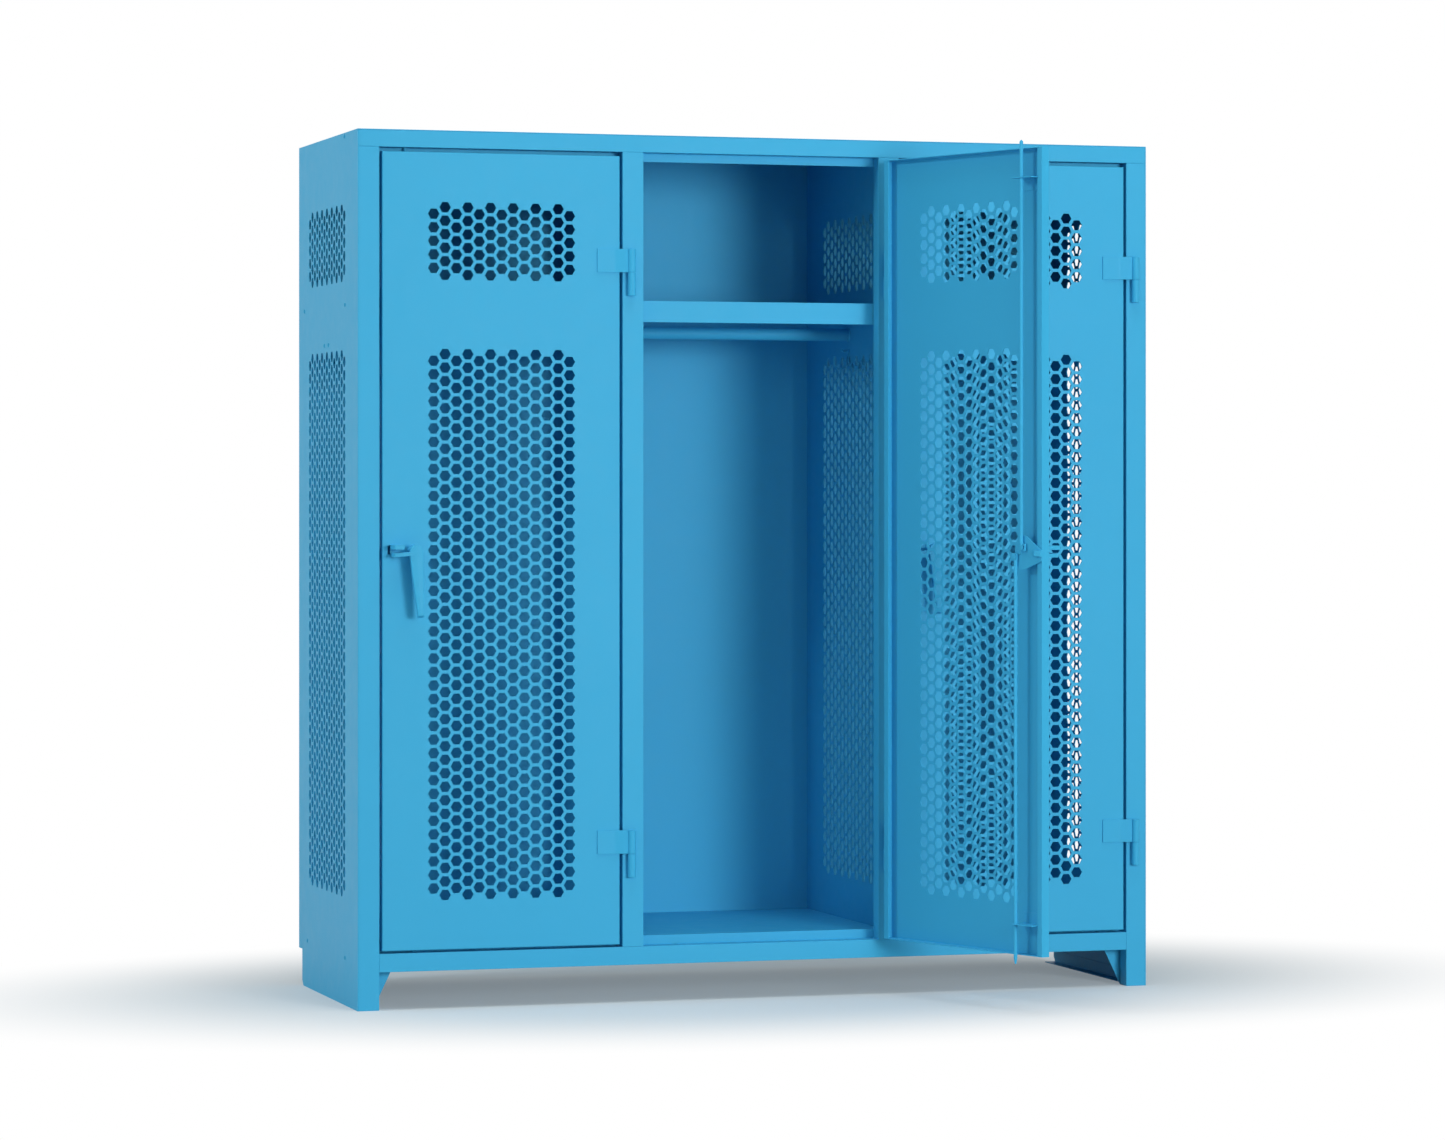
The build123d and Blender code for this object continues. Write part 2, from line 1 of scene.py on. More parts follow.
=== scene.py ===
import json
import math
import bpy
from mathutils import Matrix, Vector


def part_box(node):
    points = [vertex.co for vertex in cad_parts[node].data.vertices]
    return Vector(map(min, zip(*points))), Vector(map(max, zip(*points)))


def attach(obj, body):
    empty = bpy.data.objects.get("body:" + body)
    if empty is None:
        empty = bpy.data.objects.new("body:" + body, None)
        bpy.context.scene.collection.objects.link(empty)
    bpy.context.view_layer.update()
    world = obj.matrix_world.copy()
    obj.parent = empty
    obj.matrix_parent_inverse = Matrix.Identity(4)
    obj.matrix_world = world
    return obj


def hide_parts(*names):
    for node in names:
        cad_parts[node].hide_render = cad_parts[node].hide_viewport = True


bl_info = {
    "name": "Ventilated locker",
    "version": (1, 0, 0),
    "blender": (4, 5, 0),
    "location": "3D View > Sidebar > Locker",
    "description": "Dresses a three-bay steel locker: vents, folds, hinges, handles, locks and hooks",
    "category": "Object",
}

import bmesh
import bpy
from mathutils import Matrix, Vector

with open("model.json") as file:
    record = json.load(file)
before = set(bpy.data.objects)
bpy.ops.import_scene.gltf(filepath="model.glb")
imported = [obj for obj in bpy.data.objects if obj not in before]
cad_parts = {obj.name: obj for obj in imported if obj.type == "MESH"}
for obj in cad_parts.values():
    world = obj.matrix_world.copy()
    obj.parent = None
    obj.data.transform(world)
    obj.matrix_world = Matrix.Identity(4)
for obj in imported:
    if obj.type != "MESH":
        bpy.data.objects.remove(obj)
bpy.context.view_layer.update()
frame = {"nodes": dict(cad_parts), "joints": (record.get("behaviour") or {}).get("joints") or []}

MM = 0.001
BAYS = ("left", "middle", "right")
JOINTS = {joint["name"]: joint for joint in frame["joints"]}


def linear(text):
    """An sRGB hex value as linear red, green, blue and alpha."""
    shares = [int(text[place:place + 2], 16) / 255 for place in (1, 3, 5)]
    return tuple(c / 12.92 if c <= 0.04045 else ((c + 0.055) / 1.055) ** 2.4 for c in shares) + (1.0,)


def add_node(tree, kind, inputs=None, **settings):
    """Add a node, set its properties, and fill or link its inputs, where a node means its first output."""
    node = tree.nodes.new(kind)
    for name, value in settings.items():
        setattr(node, name, value)
    for key, value in (inputs or {}).items():
        if isinstance(value, bpy.types.Node):
            value = value.outputs[0]
        if isinstance(value, bpy.types.NodeSocket):
            tree.links.new(value, node.inputs[key])
        else:
            node.inputs[key].default_value = value
    return node


# Finishes

COAT_NAME = "Satin blue powder coat"
COAT_IOR = 1.5
DRIFT_SIZE = 450.0 * MM
GRAIN_SIZE = 30.0 * MM
PEEL_SIZE = 5.0 * MM
PEEL_DEPTH = 0.4 * MM
PEEL_STRENGTH = 0.06
ROUGHNESS_SPREAD = 0.03


def powder_coat():
    """Polyester powder coat, sprayed and baked: satin and even in colour, with a fine orange peel."""
    material = bpy.data.materials.get(COAT_NAME)
    if material:
        return material
    look = bpy.context.scene.locker_colours
    material = bpy.data.materials.new(COAT_NAME)
    material.use_nodes = True
    tree = material.node_tree
    tree.nodes.clear()
    place = add_node(tree, "ShaderNodeTexCoord").outputs["Object"]
    # Film thickness drifts over half a metre or so, and moves the colour a little
    drift = add_node(tree, "ShaderNodeTexNoise", {"Vector": place, "Scale": 1 / DRIFT_SIZE, "Detail": 2.0})
    tint = add_node(
        tree, "ShaderNodeMix",
        {"Factor": drift.outputs["Fac"], "A": tuple(look.coat_deep) + (1.0,), "B": tuple(look.coat) + (1.0,)},
        data_type="RGBA",
    )
    # The gloss is a little uneven from one thumb's width to the next
    grain = add_node(tree, "ShaderNodeTexNoise", {"Vector": place, "Scale": 1 / GRAIN_SIZE, "Detail": 3.0})
    gloss = add_node(
        tree, "ShaderNodeMapRange",
        {"Value": grain.outputs["Fac"], "From Min": 0.3, "From Max": 0.7,
         "To Min": look.coat_roughness - ROUGHNESS_SPREAD, "To Max": look.coat_roughness + ROUGHNESS_SPREAD},
    )
    # Orange peel is about 2 mm across, drawn at 5 mm so that it shows at this distance
    peel = add_node(tree, "ShaderNodeTexNoise", {"Vector": place, "Scale": 1 / PEEL_SIZE, "Detail": 1.0})
    bump = add_node(
        tree, "ShaderNodeBump",
        {"Height": peel.outputs["Fac"], "Strength": PEEL_STRENGTH, "Distance": PEEL_DEPTH},
    )
    shader = add_node(
        tree, "ShaderNodeBsdfPrincipled",
        {"Base Color": tint.outputs[2], "Roughness": gloss.outputs["Result"],
         "Normal": bump.outputs["Normal"], "IOR": COAT_IOR, "Specular IOR Level": look.coat_reflection},
    )
    add_node(tree, "ShaderNodeOutputMaterial", {"Surface": shader.outputs["BSDF"]})
    return material


# Mesh making

# Edges sharper than these stay crisp in the shading
CREASE_TURNED = math.radians(40)
CREASE_DOOR = math.radians(28)
CREASE_CAST = math.radians(32)
CREASE_LOCK = math.radians(50)
CREASE_RIVET = math.radians(60)

# Edges of a plate that are sharper than this are rounded
SHARP_EDGE = math.radians(40)


def finished(name, mesh, body, replaced=(), crease=CREASE_TURNED):
    """Put a mesh in the scene as a piece that rides on a body and stands for CAD nodes."""
    obj = bpy.data.objects.new(name, mesh)
    bpy.context.scene.collection.objects.link(obj)
    mesh.materials.clear()
    mesh.materials.append(powder_coat())
    for polygon in mesh.polygons:
        polygon.material_index = 0
    shade(obj, crease)
    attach(obj, body)
    if replaced:
        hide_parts(*replaced)
    return obj


def shade(obj, angle):
    """Smooth shading that keeps edges sharper than the angle crisp, and broad faces flat up to them."""
    work = bmesh.new()
    work.from_mesh(obj.data)
    for face in work.faces:
        face.smooth = True
    for edge in work.edges:
        edge.smooth = len(edge.link_faces) == 2 and edge.calc_face_angle(math.pi) < angle
    work.to_mesh(obj.data)
    work.free()
    weighting = obj.modifiers.new("weighting", "WEIGHTED_NORMAL")
    weighting.keep_sharp = True
    weighting.weight = 50
    plain = bpy.data.meshes.new_from_object(obj.evaluated_get(bpy.context.evaluated_depsgraph_get()))
    obj.modifiers.clear()
    rough = obj.data
    obj.data = plain
    bpy.data.meshes.remove(rough)


def mesh_of(work, name, place=None):
    """Turn a bmesh into a mesh, with its faces pointing outwards."""
    if place is not None:
        work.transform(place)
    bmesh.ops.recalc_face_normals(work, faces=work.faces)
    mesh = bpy.data.meshes.new(name)
    work.to_mesh(mesh)
    work.free()
    return mesh


def joined(meshes, name):
    """One mesh from several."""
    work = bmesh.new()
    for mesh in meshes:
        work.from_mesh(mesh)
        bpy.data.meshes.remove(mesh)
    mesh = bpy.data.meshes.new(name)
    work.to_mesh(mesh)
    work.free()
    return mesh


def rounded(work, edges, width, clamp=False):
    """Round edges of a bmesh."""
    bmesh.ops.bevel(
        work, geom=edges, offset=width, segments=2, profile=0.5, affect="EDGES", clamp_overlap=clamp
    )


def box_mesh(low, high, bevel):
    """A box between two corners, with its edges rounded."""
    work = bmesh.new()
    size = [b - a for a, b in zip(low, high)]
    middle = [(a + b) / 2 for a, b in zip(low, high)]
    bmesh.ops.create_cube(work, size=1.0)
    bmesh.ops.scale(work, vec=size, verts=work.verts)
    bmesh.ops.translate(work, vec=middle, verts=work.verts)
    rounded(work, work.edges[:], bevel)
    return mesh_of(work, "box")


def rectangle(low, high):
    """The corners of a rectangle, from the first corner across, up and back."""
    return [low, (high[0], low[1]), high, (low[0], high[1])]


def round_outline(middle, radius, sides=28):
    """A circle as an outline."""
    turns = [math.tau * side / sides for side in range(sides)]
    return [(middle[0] + radius * math.cos(t), middle[1] + radius * math.sin(t)) for t in turns]


def eased(outline, reach, steps=3):
    """An outline with each corner rounded, starting the given reach before and after the corner."""
    points = []
    for before, corner, after in zip(outline[-1:] + outline[:-1], outline, outline[1:] + outline[:1]):
        corner = Vector(corner)
        ends = []
        for neighbour in (before, after):
            side = Vector(neighbour) - corner
            # On a short side the rounding stops just before its middle
            ends.append(corner + side.normalized() * min(reach, side.length / 2.1))
        start, end = ends
        for step in range(steps + 1):
            share = step / steps
            points.append(tuple(start.lerp(corner, share).lerp(corner.lerp(end, share), share)))
    return points


def lathe_mesh(profile, place, sides=40):
    """A turned shape: profile points are radius and height, and the place puts its axis."""
    work = bmesh.new()
    rings = []
    for radius, height in profile:
        circle = round_outline((0, 0), radius, sides) if radius else [(0, 0)]
        rings.append([work.verts.new((x, y, height)) for x, y in circle])
    for lower, upper in zip(rings, rings[1:]):
        for side in range(sides):
            after = (side + 1) % sides
            corners = [
                lower[side % len(lower)], lower[after % len(lower)],
                upper[after % len(upper)], upper[side % len(upper)],
            ]
            unique = list(dict.fromkeys(corners))
            if len(unique) > 2:
                work.faces.new(unique)
    return mesh_of(work, "turned", place)


def raise_faces(work, faces, height):
    """Give flat faces of a bmesh a height."""
    raised = bmesh.ops.extrude_face_region(work, geom=faces)
    top = [item for item in raised["geom"] if isinstance(item, bmesh.types.BMVert)]
    bmesh.ops.translate(work, vec=(0, 0, height), verts=top)


def prism_mesh(outline, height, place, bevel):
    """A flat outline raised to a height, with its edges rounded."""
    work = bmesh.new()
    face = work.faces.new([work.verts.new((x, y, 0)) for x, y in outline])
    raise_faces(work, [face], height)
    rounded(work, work.edges[:], bevel)
    return mesh_of(work, "prism", place)


def plate_mesh(outline, holes, height, place, bevel=0.4 * MM):
    """A flat plate with holes through it, raised to a height, with its edges rounded."""
    work = bmesh.new()
    for loop in [outline, *holes]:
        ring = [work.verts.new((x, y, 0)) for x, y in loop]
        for first, second in zip(ring, ring[1:] + ring[:1]):
            work.edges.new((first, second))
    bmesh.ops.triangle_fill(work, use_beauty=True, use_dissolve=False, edges=work.edges[:])
    raise_faces(work, work.faces[:], height)
    bmesh.ops.recalc_face_normals(work, faces=work.faces)
    sharp = [edge for edge in work.edges if edge.calc_face_angle(0) > SHARP_EDGE]
    rounded(work, sharp, bevel, clamp=True)
    return mesh_of(work, "plate", place)


def wire_mesh(points, radius, place):
    """A round wire through points, with closed ends."""
    curve = bpy.data.curves.new("wire", "CURVE")
    curve.dimensions = "3D"
    curve.bevel_depth = radius
    curve.bevel_resolution = 4
    curve.use_fill_caps = True
    spline = curve.splines.new("POLY")
    spline.points.add(len(points) - 1)
    for point, target in zip(points, spline.points):
        target.co = (*point, 1.0)
    holder = bpy.data.objects.new("wire", curve)
    bpy.context.scene.collection.objects.link(holder)
    mesh = bpy.data.meshes.new_from_object(holder.evaluated_get(bpy.context.evaluated_depsgraph_get()))
    bpy.data.objects.remove(holder)
    bpy.data.curves.remove(curve)
    mesh.transform(place)
    return mesh


def loft_mesh(sections, place):
    """A skin over closed sections with the same number of points, capped at both ends."""
    work = bmesh.new()
    rings = [[work.verts.new(point) for point in section] for section in sections]
    for lower, upper in zip(rings, rings[1:]):
        for first in range(len(lower)):
            after = (first + 1) % len(lower)
            work.faces.new([lower[first], lower[after], upper[after], upper[first]])
    work.faces.new(rings[0])
    work.faces.new(rings[-1])
    return mesh_of(work, "loft", place)


# Where the doors and handles are

def hinge_place(bay):
    """The hinge axis of a door and the turn from closed to the stored place."""
    joint = JOINTS[f"{bay}_door_hinge"]
    return Vector(joint["pos_m"]), -math.radians(joint["range_deg"][0])


def door_turn(bay):
    """Moves a piece that was built on the closed door to where the door is stored."""
    point, angle = hinge_place(bay)
    return Matrix.Translation(point) @ Matrix.Rotation(angle, 4, "Z") @ Matrix.Translation(-point)


def handle_hub(bay):
    """Where the handle's axis crosses the face of the closed door."""
    joint = JOINTS[f"{bay}_handle_turn"]
    return door_turn(bay).inverted() @ Vector(joint["pos_m"])


def handle_turn(bay):
    """Moves a piece built on a closed door with its lever straight down to the stored place."""
    hub = handle_hub(bay)
    turn = -math.radians(JOINTS[f"{bay}_handle_turn"]["range_deg"][0])
    spin = Matrix.Rotation(turn, 4, Vector((0, -1, 0)))
    return door_turn(bay) @ Matrix.Translation(hub) @ spin @ Matrix.Translation(-hub)


def closed_box(bay, node):
    """Lowest and highest corners of a door's node, with the door closed."""
    back = door_turn(bay).inverted()
    points = [back @ vertex.co for vertex in frame["nodes"][node].data.vertices]
    low = Vector([min(point[axis] for point in points) for axis in range(3)])
    high = Vector([max(point[axis] for point in points) for axis in range(3)])
    return low, high


# Vented sheets

SHEET_MERGE = 0.02 * MM


def new_tree(name, sockets):
    """A geometry tree with named inputs and one geometry output, and the sockets of its inputs."""
    tree = bpy.data.node_groups.new(name, "GeometryNodeTree")
    for label, kind in sockets:
        tree.interface.new_socket(label, in_out="INPUT", socket_type=f"NodeSocket{kind}")
    tree.interface.new_socket("Geometry", in_out="OUTPUT", socket_type="NodeSocketGeometry")
    return tree, add_node(tree, "NodeGroupInput").outputs


def staggered_field_tree():
    """A field of points in staggered columns, with every second column one point longer."""
    tree, given = new_tree("Staggered field", (
        ("Columns", "Int"), ("Rows", "Int"), ("Pitch", "Float"), ("Column spacing", "Float"),
        ("Across", "Float"), ("Up", "Float"),
    ))
    spacing = add_node(tree, "ShaderNodeMath", {0: given["Column spacing"], 1: 2.0}, operation="MULTIPLY")
    both = add_node(tree, "GeometryNodeJoinGeometry")
    # The short columns, which stand outermost, are one more than the long ones, and one point shorter
    for extra in (1.0, 0.0):
        more = add_node(tree, "ShaderNodeMath", {0: given["Columns"], 1: extra}, operation="ADD")
        halved = add_node(tree, "ShaderNodeMath", {0: more, 1: 2.0}, operation="DIVIDE")
        columns = add_node(tree, "ShaderNodeMath", {0: halved}, operation="FLOOR")
        rows = add_node(tree, "ShaderNodeMath", {0: given["Rows"], 1: extra}, operation="SUBTRACT")
        steps_across = add_node(tree, "ShaderNodeMath", {0: columns, 1: 1.0}, operation="SUBTRACT")
        steps_up = add_node(tree, "ShaderNodeMath", {0: rows, 1: 1.0}, operation="SUBTRACT")
        width = add_node(tree, "ShaderNodeMath", {0: steps_across, 1: spacing}, operation="MULTIPLY")
        height = add_node(tree, "ShaderNodeMath", {0: steps_up, 1: given["Pitch"]}, operation="MULTIPLY")
        lattice = add_node(
            tree, "GeometryNodeMeshGrid",
            {"Size X": width, "Size Y": height, "Vertices X": columns, "Vertices Y": rows},
        )
        tree.links.new(lattice.outputs["Mesh"], both.inputs[0])
    middle = add_node(tree, "ShaderNodeCombineXYZ", {"X": given["Across"], "Y": given["Up"]})
    moved = add_node(tree, "GeometryNodeTransform", {"Geometry": both, "Translation": middle})
    add_node(tree, "NodeGroupOutput", {"Geometry": moved})
    return tree


def vented_sheet_tree():
    """A sheet cut to the outline it is given, pierced by two fields of hexagons with softened rims."""
    tree, given = new_tree("Vented sheet", (
        ("Outline", "Geometry"), ("Columns", "Int"), ("Upper rows", "Int"), ("Lower rows", "Int"),
        ("Pitch", "Float"), ("Column spacing", "Float"), ("Hole radius", "Float"), ("Rim", "Float"),
        ("Thickness", "Float"), ("Across", "Float"), ("Upper middle", "Float"), ("Lower middle", "Float"),
        ("Finish", "Material"),
    ))
    field_tree = staggered_field_tree()
    vents = add_node(tree, "GeometryNodeJoinGeometry")
    for part in ("Upper", "Lower"):
        field = add_node(
            tree, "GeometryNodeGroup",
            {"Columns": given["Columns"], "Rows": given[f"{part} rows"], "Pitch": given["Pitch"],
             "Column spacing": given["Column spacing"], "Across": given["Across"],
             "Up": given[f"{part} middle"]},
            node_tree=field_tree,
        )
        tree.links.new(field.outputs[0], vents.inputs[0])

    # Both faces: the outline with the rims of all the vents cut out of it
    rim_radius = add_node(tree, "ShaderNodeMath", {0: given["Hole radius"], 1: given["Rim"]}, operation="ADD")
    rim = add_node(
        tree, "GeometryNodeCurvePrimitiveCircle", {"Resolution": 6, "Radius": rim_radius}, mode="RADIUS"
    )
    rim_copies = add_node(tree, "GeometryNodeInstanceOnPoints", {"Points": vents, "Instance": rim})
    rims = add_node(tree, "GeometryNodeRealizeInstances", {"Geometry": rim_copies})
    edge = add_node(tree, "GeometryNodeMeshToCurve", {"Mesh": given["Outline"]})
    curves = add_node(tree, "GeometryNodeJoinGeometry")
    for piece in (edge, rims):
        tree.links.new(piece.outputs[0], curves.inputs[0])
    filled = add_node(tree, "GeometryNodeFillCurve", {"Curve": curves})
    half = add_node(tree, "ShaderNodeMath", {0: given["Thickness"], 1: 2.0}, operation="DIVIDE")
    minus_half = add_node(tree, "ShaderNodeMath", {0: half, 1: -1.0}, operation="MULTIPLY")
    up = add_node(tree, "ShaderNodeCombineXYZ", {"Z": half})
    down = add_node(tree, "ShaderNodeCombineXYZ", {"Z": minus_half})
    front = add_node(tree, "GeometryNodeTransform", {"Geometry": filled, "Translation": up})
    lowered = add_node(tree, "GeometryNodeTransform", {"Geometry": filled, "Translation": down})
    back = add_node(tree, "GeometryNodeFlipFaces", {"Mesh": lowered})

    # The wall along the outline
    rise = add_node(tree, "ShaderNodeCombineXYZ", {"Z": given["Thickness"]})
    foot = add_node(tree, "GeometryNodeTransform", {"Geometry": given["Outline"], "Translation": down})
    wall = add_node(
        tree, "GeometryNodeExtrudeMesh", {"Mesh": foot, "Offset": rise, "Offset Scale": 1.0}, mode="EDGES"
    )

    # The wall of one vent: narrow in the middle and flared by the rim at both faces
    tube = add_node(
        tree, "GeometryNodeMeshCylinder",
        {"Vertices": 6, "Side Segments": 3, "Radius": given["Hole radius"], "Depth": given["Thickness"]},
        fill_type="NONE",
    )
    spot = add_node(tree, "ShaderNodeSeparateXYZ", {0: add_node(tree, "GeometryNodeInputPosition")}).outputs
    off_middle = add_node(tree, "ShaderNodeMath", {0: spot["Z"]}, operation="ABSOLUTE")
    limit = add_node(tree, "ShaderNodeMath", {0: half, 1: 0.6}, operation="MULTIPLY")
    outer = add_node(tree, "ShaderNodeMath", {0: off_middle, 1: limit}, operation="GREATER_THAN")
    rim_share = add_node(
        tree, "ShaderNodeMath", {0: given["Rim"], 1: given["Hole radius"]}, operation="DIVIDE"
    )
    widening = add_node(tree, "ShaderNodeMath", {0: outer, 1: rim_share}, operation="MULTIPLY")
    flare = add_node(tree, "ShaderNodeMath", {0: 1.0, 1: widening}, operation="ADD")
    inner = add_node(tree, "ShaderNodeMath", {0: 1.0, 1: outer}, operation="SUBTRACT")
    inset = add_node(tree, "ShaderNodeMath", {0: inner, 1: given["Rim"]}, operation="MULTIPLY")
    side = add_node(tree, "ShaderNodeMath", {0: spot["Z"]}, operation="SIGN")
    level = add_node(tree, "ShaderNodeMath", {0: half, 1: inset}, operation="SUBTRACT")
    reshaped = add_node(tree, "ShaderNodeCombineXYZ", {
        "X": add_node(tree, "ShaderNodeMath", {0: spot["X"], 1: flare}, operation="MULTIPLY"),
        "Y": add_node(tree, "ShaderNodeMath", {0: spot["Y"], 1: flare}, operation="MULTIPLY"),
        "Z": add_node(tree, "ShaderNodeMath", {0: side, 1: level}, operation="MULTIPLY"),
    })
    flared = add_node(tree, "GeometryNodeSetPosition", {"Geometry": tube, "Position": reshaped})
    sleeve = add_node(tree, "GeometryNodeFlipFaces", {"Mesh": flared})
    sleeve_copies = add_node(tree, "GeometryNodeInstanceOnPoints", {"Points": vents, "Instance": sleeve})
    sleeves = add_node(tree, "GeometryNodeRealizeInstances", {"Geometry": sleeve_copies})

    pieces = add_node(tree, "GeometryNodeJoinGeometry")
    for piece in (front, back, wall, sleeves):
        tree.links.new(piece.outputs[0], pieces.inputs[0])
    welded = add_node(tree, "GeometryNodeMergeByDistance", {"Geometry": pieces, "Distance": SHEET_MERGE})
    whole = add_node(tree, "GeometryNodeRealizeInstances", {"Geometry": welded})
    coated = add_node(tree, "GeometryNodeSetMaterial", {"Geometry": whole, "Material": given["Finish"]})
    add_node(tree, "NodeGroupOutput", {"Geometry": coated})
    return tree


def grown(tree, mesh, values):
    """Run a geometry tree on a mesh with named values, and return the plain mesh it makes."""
    holder = bpy.data.objects.new("holder", mesh)
    bpy.context.scene.collection.objects.link(holder)
    modifier = holder.modifiers.new("tree", "NODES")
    modifier.node_group = tree
    for item in tree.interface.items_tree:
        if item.item_type == "SOCKET" and item.in_out == "INPUT" and item.name in values:
            modifier[item.identifier] = values[item.name]
    result = bpy.data.meshes.new_from_object(holder.evaluated_get(bpy.context.evaluated_depsgraph_get()))
    bpy.data.objects.remove(holder)
    bpy.data.meshes.remove(mesh)
    return result


def vented_sheet(loops, columns, across, place):
    """The mesh of a vented sheet: its first loop is the outline, and any others are cut-outs."""
    sizes = bpy.context.scene.locker_sizes
    tree = bpy.data.node_groups.get("Vented sheet") or vented_sheet_tree()
    vertices = []
    edges = []
    for loop in loops:
        start = len(vertices)
        vertices += [(x, y, 0) for x, y in loop]
        edges += [(start + step, start + (step + 1) % len(loop)) for step in range(len(loop))]
    outline = bpy.data.meshes.new("outline")
    outline.from_pydata(vertices, edges, [])
    mesh = grown(tree, outline, {
        "Columns": columns,
        "Upper rows": sizes.upper_rows,
        "Lower rows": sizes.lower_rows,
        "Pitch": sizes.vent_pitch,
        "Column spacing": sizes.vent_column_spacing,
        "Hole radius": sizes.vent_width / math.sqrt(3),
        "Rim": sizes.vent_rim,
        "Thickness": sizes.sheet,
        "Across": across,
        "Upper middle": sizes.upper_vent_middle,
        "Lower middle": sizes.lower_vent_middle,
        "Finish": powder_coat(),
    })
    mesh.transform(place)
    return mesh


def upright_place(origin, across, out):
    """A sheet's own X runs across, its Y runs up and its Z points out."""
    across = Vector(across)
    out = Vector(out)
    turn = Matrix((across, Vector((0, 0, 1)), out)).transposed().to_4x4()
    return Matrix.Translation(origin) @ turn


DOOR_CUT_ROUND = 0.4 * MM
DOOR_LEAST_BEND = 0.3 * MM
LIP_ROUND = 0.5 * MM
LIP_SETBACK = 0.05 * MM


def door_mesh(bay):
    """A door: vented face with a small bend all round, deep edges, and a lip down both sides."""
    sizes = bpy.context.scene.locker_sizes
    low, high = closed_box(bay, f"{bay}_door_panel")
    radius = sizes.door_bend
    sheet = sizes.sheet
    front = low.y
    back = high.y
    width = high.x - low.x
    hub = handle_hub(bay)
    slot_x = hub.x - low.x - sizes.latch_slot_from_hub
    slot_z = hub.z + sizes.latch_slot_rise
    half_w = sizes.latch_slot_width / 2
    half_h = sizes.latch_slot_height / 2
    slot = rectangle((slot_x - half_w, slot_z - half_h), (slot_x + half_w, slot_z + half_h))
    loops = [
        rectangle((radius, low.z + radius), (width - radius, high.z - radius)),
        slot[::-1],
    ]
    place = upright_place((low.x, front + sheet / 2, 0), (1, 0, 0), (0, -1, 0))
    face = vented_sheet(loops, sizes.door_columns, width / 2, place)

    # Rings of the folded edge, from the face round the outside to the inner corner: inset and depth
    turns = [math.pi / 8 * step for step in range(5)]
    arc = [(radius - radius * math.sin(t), radius - radius * math.cos(t)) for t in turns]
    deep = back - front
    cut_edge = [
        (0, deep - DOOR_CUT_ROUND), (DOOR_CUT_ROUND, deep),
        (sheet - DOOR_CUT_ROUND, deep), (sheet, deep - DOOR_CUT_ROUND),
    ]
    inner = max(radius - sheet, DOOR_LEAST_BEND)
    inner_arc = [(sheet + inner - inner * math.sin(t), sheet + inner - inner * math.cos(t)) for t in turns]
    work = bmesh.new()
    rings = []
    for inset, depth in arc + cut_edge + inner_arc[::-1]:
        corners = rectangle((low.x + inset, low.z + inset), (high.x - inset, high.z - inset))
        rings.append([work.verts.new((x, front + depth, z)) for x, z in corners])
    for outer_ring, inner_ring in zip(rings, rings[1:] + rings[:1]):
        for corner in range(4):
            after = (corner + 1) % 4
            work.faces.new([outer_ring[corner], outer_ring[after], inner_ring[after], inner_ring[corner]])
    rim = mesh_of(work, "rim")
    lips = []
    for start, end in (
        (low.x + sheet / 2, low.x + sizes.door_lip), (high.x - sizes.door_lip, high.x - sheet / 2),
    ):
        lowest = (start, back - sheet, low.z + sheet)
        highest = (end, back - LIP_SETBACK, high.z - sheet)
        lips.append(box_mesh(lowest, highest, LIP_ROUND))
    return joined([face, rim, *lips], f"{bay}_door")


class LOCKER_OT_doors(bpy.types.Operator):
    """Make the three vented doors, folded all round"""
    bl_idname = "locker.doors"
    bl_label = "Vented doors"

    def execute(self, context):
        for bay in BAYS:
            mesh = door_mesh(bay)
            mesh.transform(door_turn(bay))
            finished(f"{bay}_door_skin", mesh, f"{bay}_door", [f"{bay}_door_panel"], CREASE_DOOR)
        return {"FINISHED"}


class LOCKER_OT_sides(bpy.types.Operator):
    """Make the vented outer sides and the vented sheets between the bays"""
    bl_idname = "locker.sides"
    bl_label = "Vented sides and dividers"

    def execute(self, context):
        sizes = context.scene.locker_sizes
        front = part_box("header")[0][1]
        for side in ("left", "right"):
            node = f"{side}_side_panel"
            low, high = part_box(node)
            depth = high[1] - low[1]
            notch = depth - sizes.notch_depth
            loop = [
                (0, low[2]), (notch - sizes.notch_corner, low[2]), (notch, low[2] + sizes.notch_corner),
                (notch, sizes.notch_height), (depth, sizes.notch_height), (depth, high[2]), (0, high[2]),
            ]
            place = upright_place(((low[0] + high[0]) / 2, low[1], 0), (0, 1, 0), (1, 0, 0))
            middle = sizes.side_vent_middle if side == "left" else sizes.right_vent_middle
            mesh = vented_sheet([loop], sizes.side_columns, middle, place)
            finished(f"{side}_side_sheet", mesh, "case", [node])
            node = f"{side}_divider"
            low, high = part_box(node)
            header_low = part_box("header")[0][2]
            frame_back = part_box("header")[1][1]
            loop = [
                (low[1] - front, low[2]), (high[1] - front, low[2]), (high[1] - front, high[2]),
                (frame_back - front, high[2]), (frame_back - front, header_low), (low[1] - front, header_low),
            ]
            place = upright_place(((low[0] + high[0]) / 2, front, 0), (0, 1, 0), (1, 0, 0))
            mesh = vented_sheet([loop], sizes.side_columns, sizes.divider_vent_middle, place)
            finished(f"{side}_divider_sheet", mesh, "case", [node])
        return {"FINISHED"}


# Sheet metal and bars whose CAD shape is right, with their edges softened

NODE_MERGE = 0.01 * MM
NODE_FLAT = math.radians(1)
DRILL_SPARE = 5.0 * MM


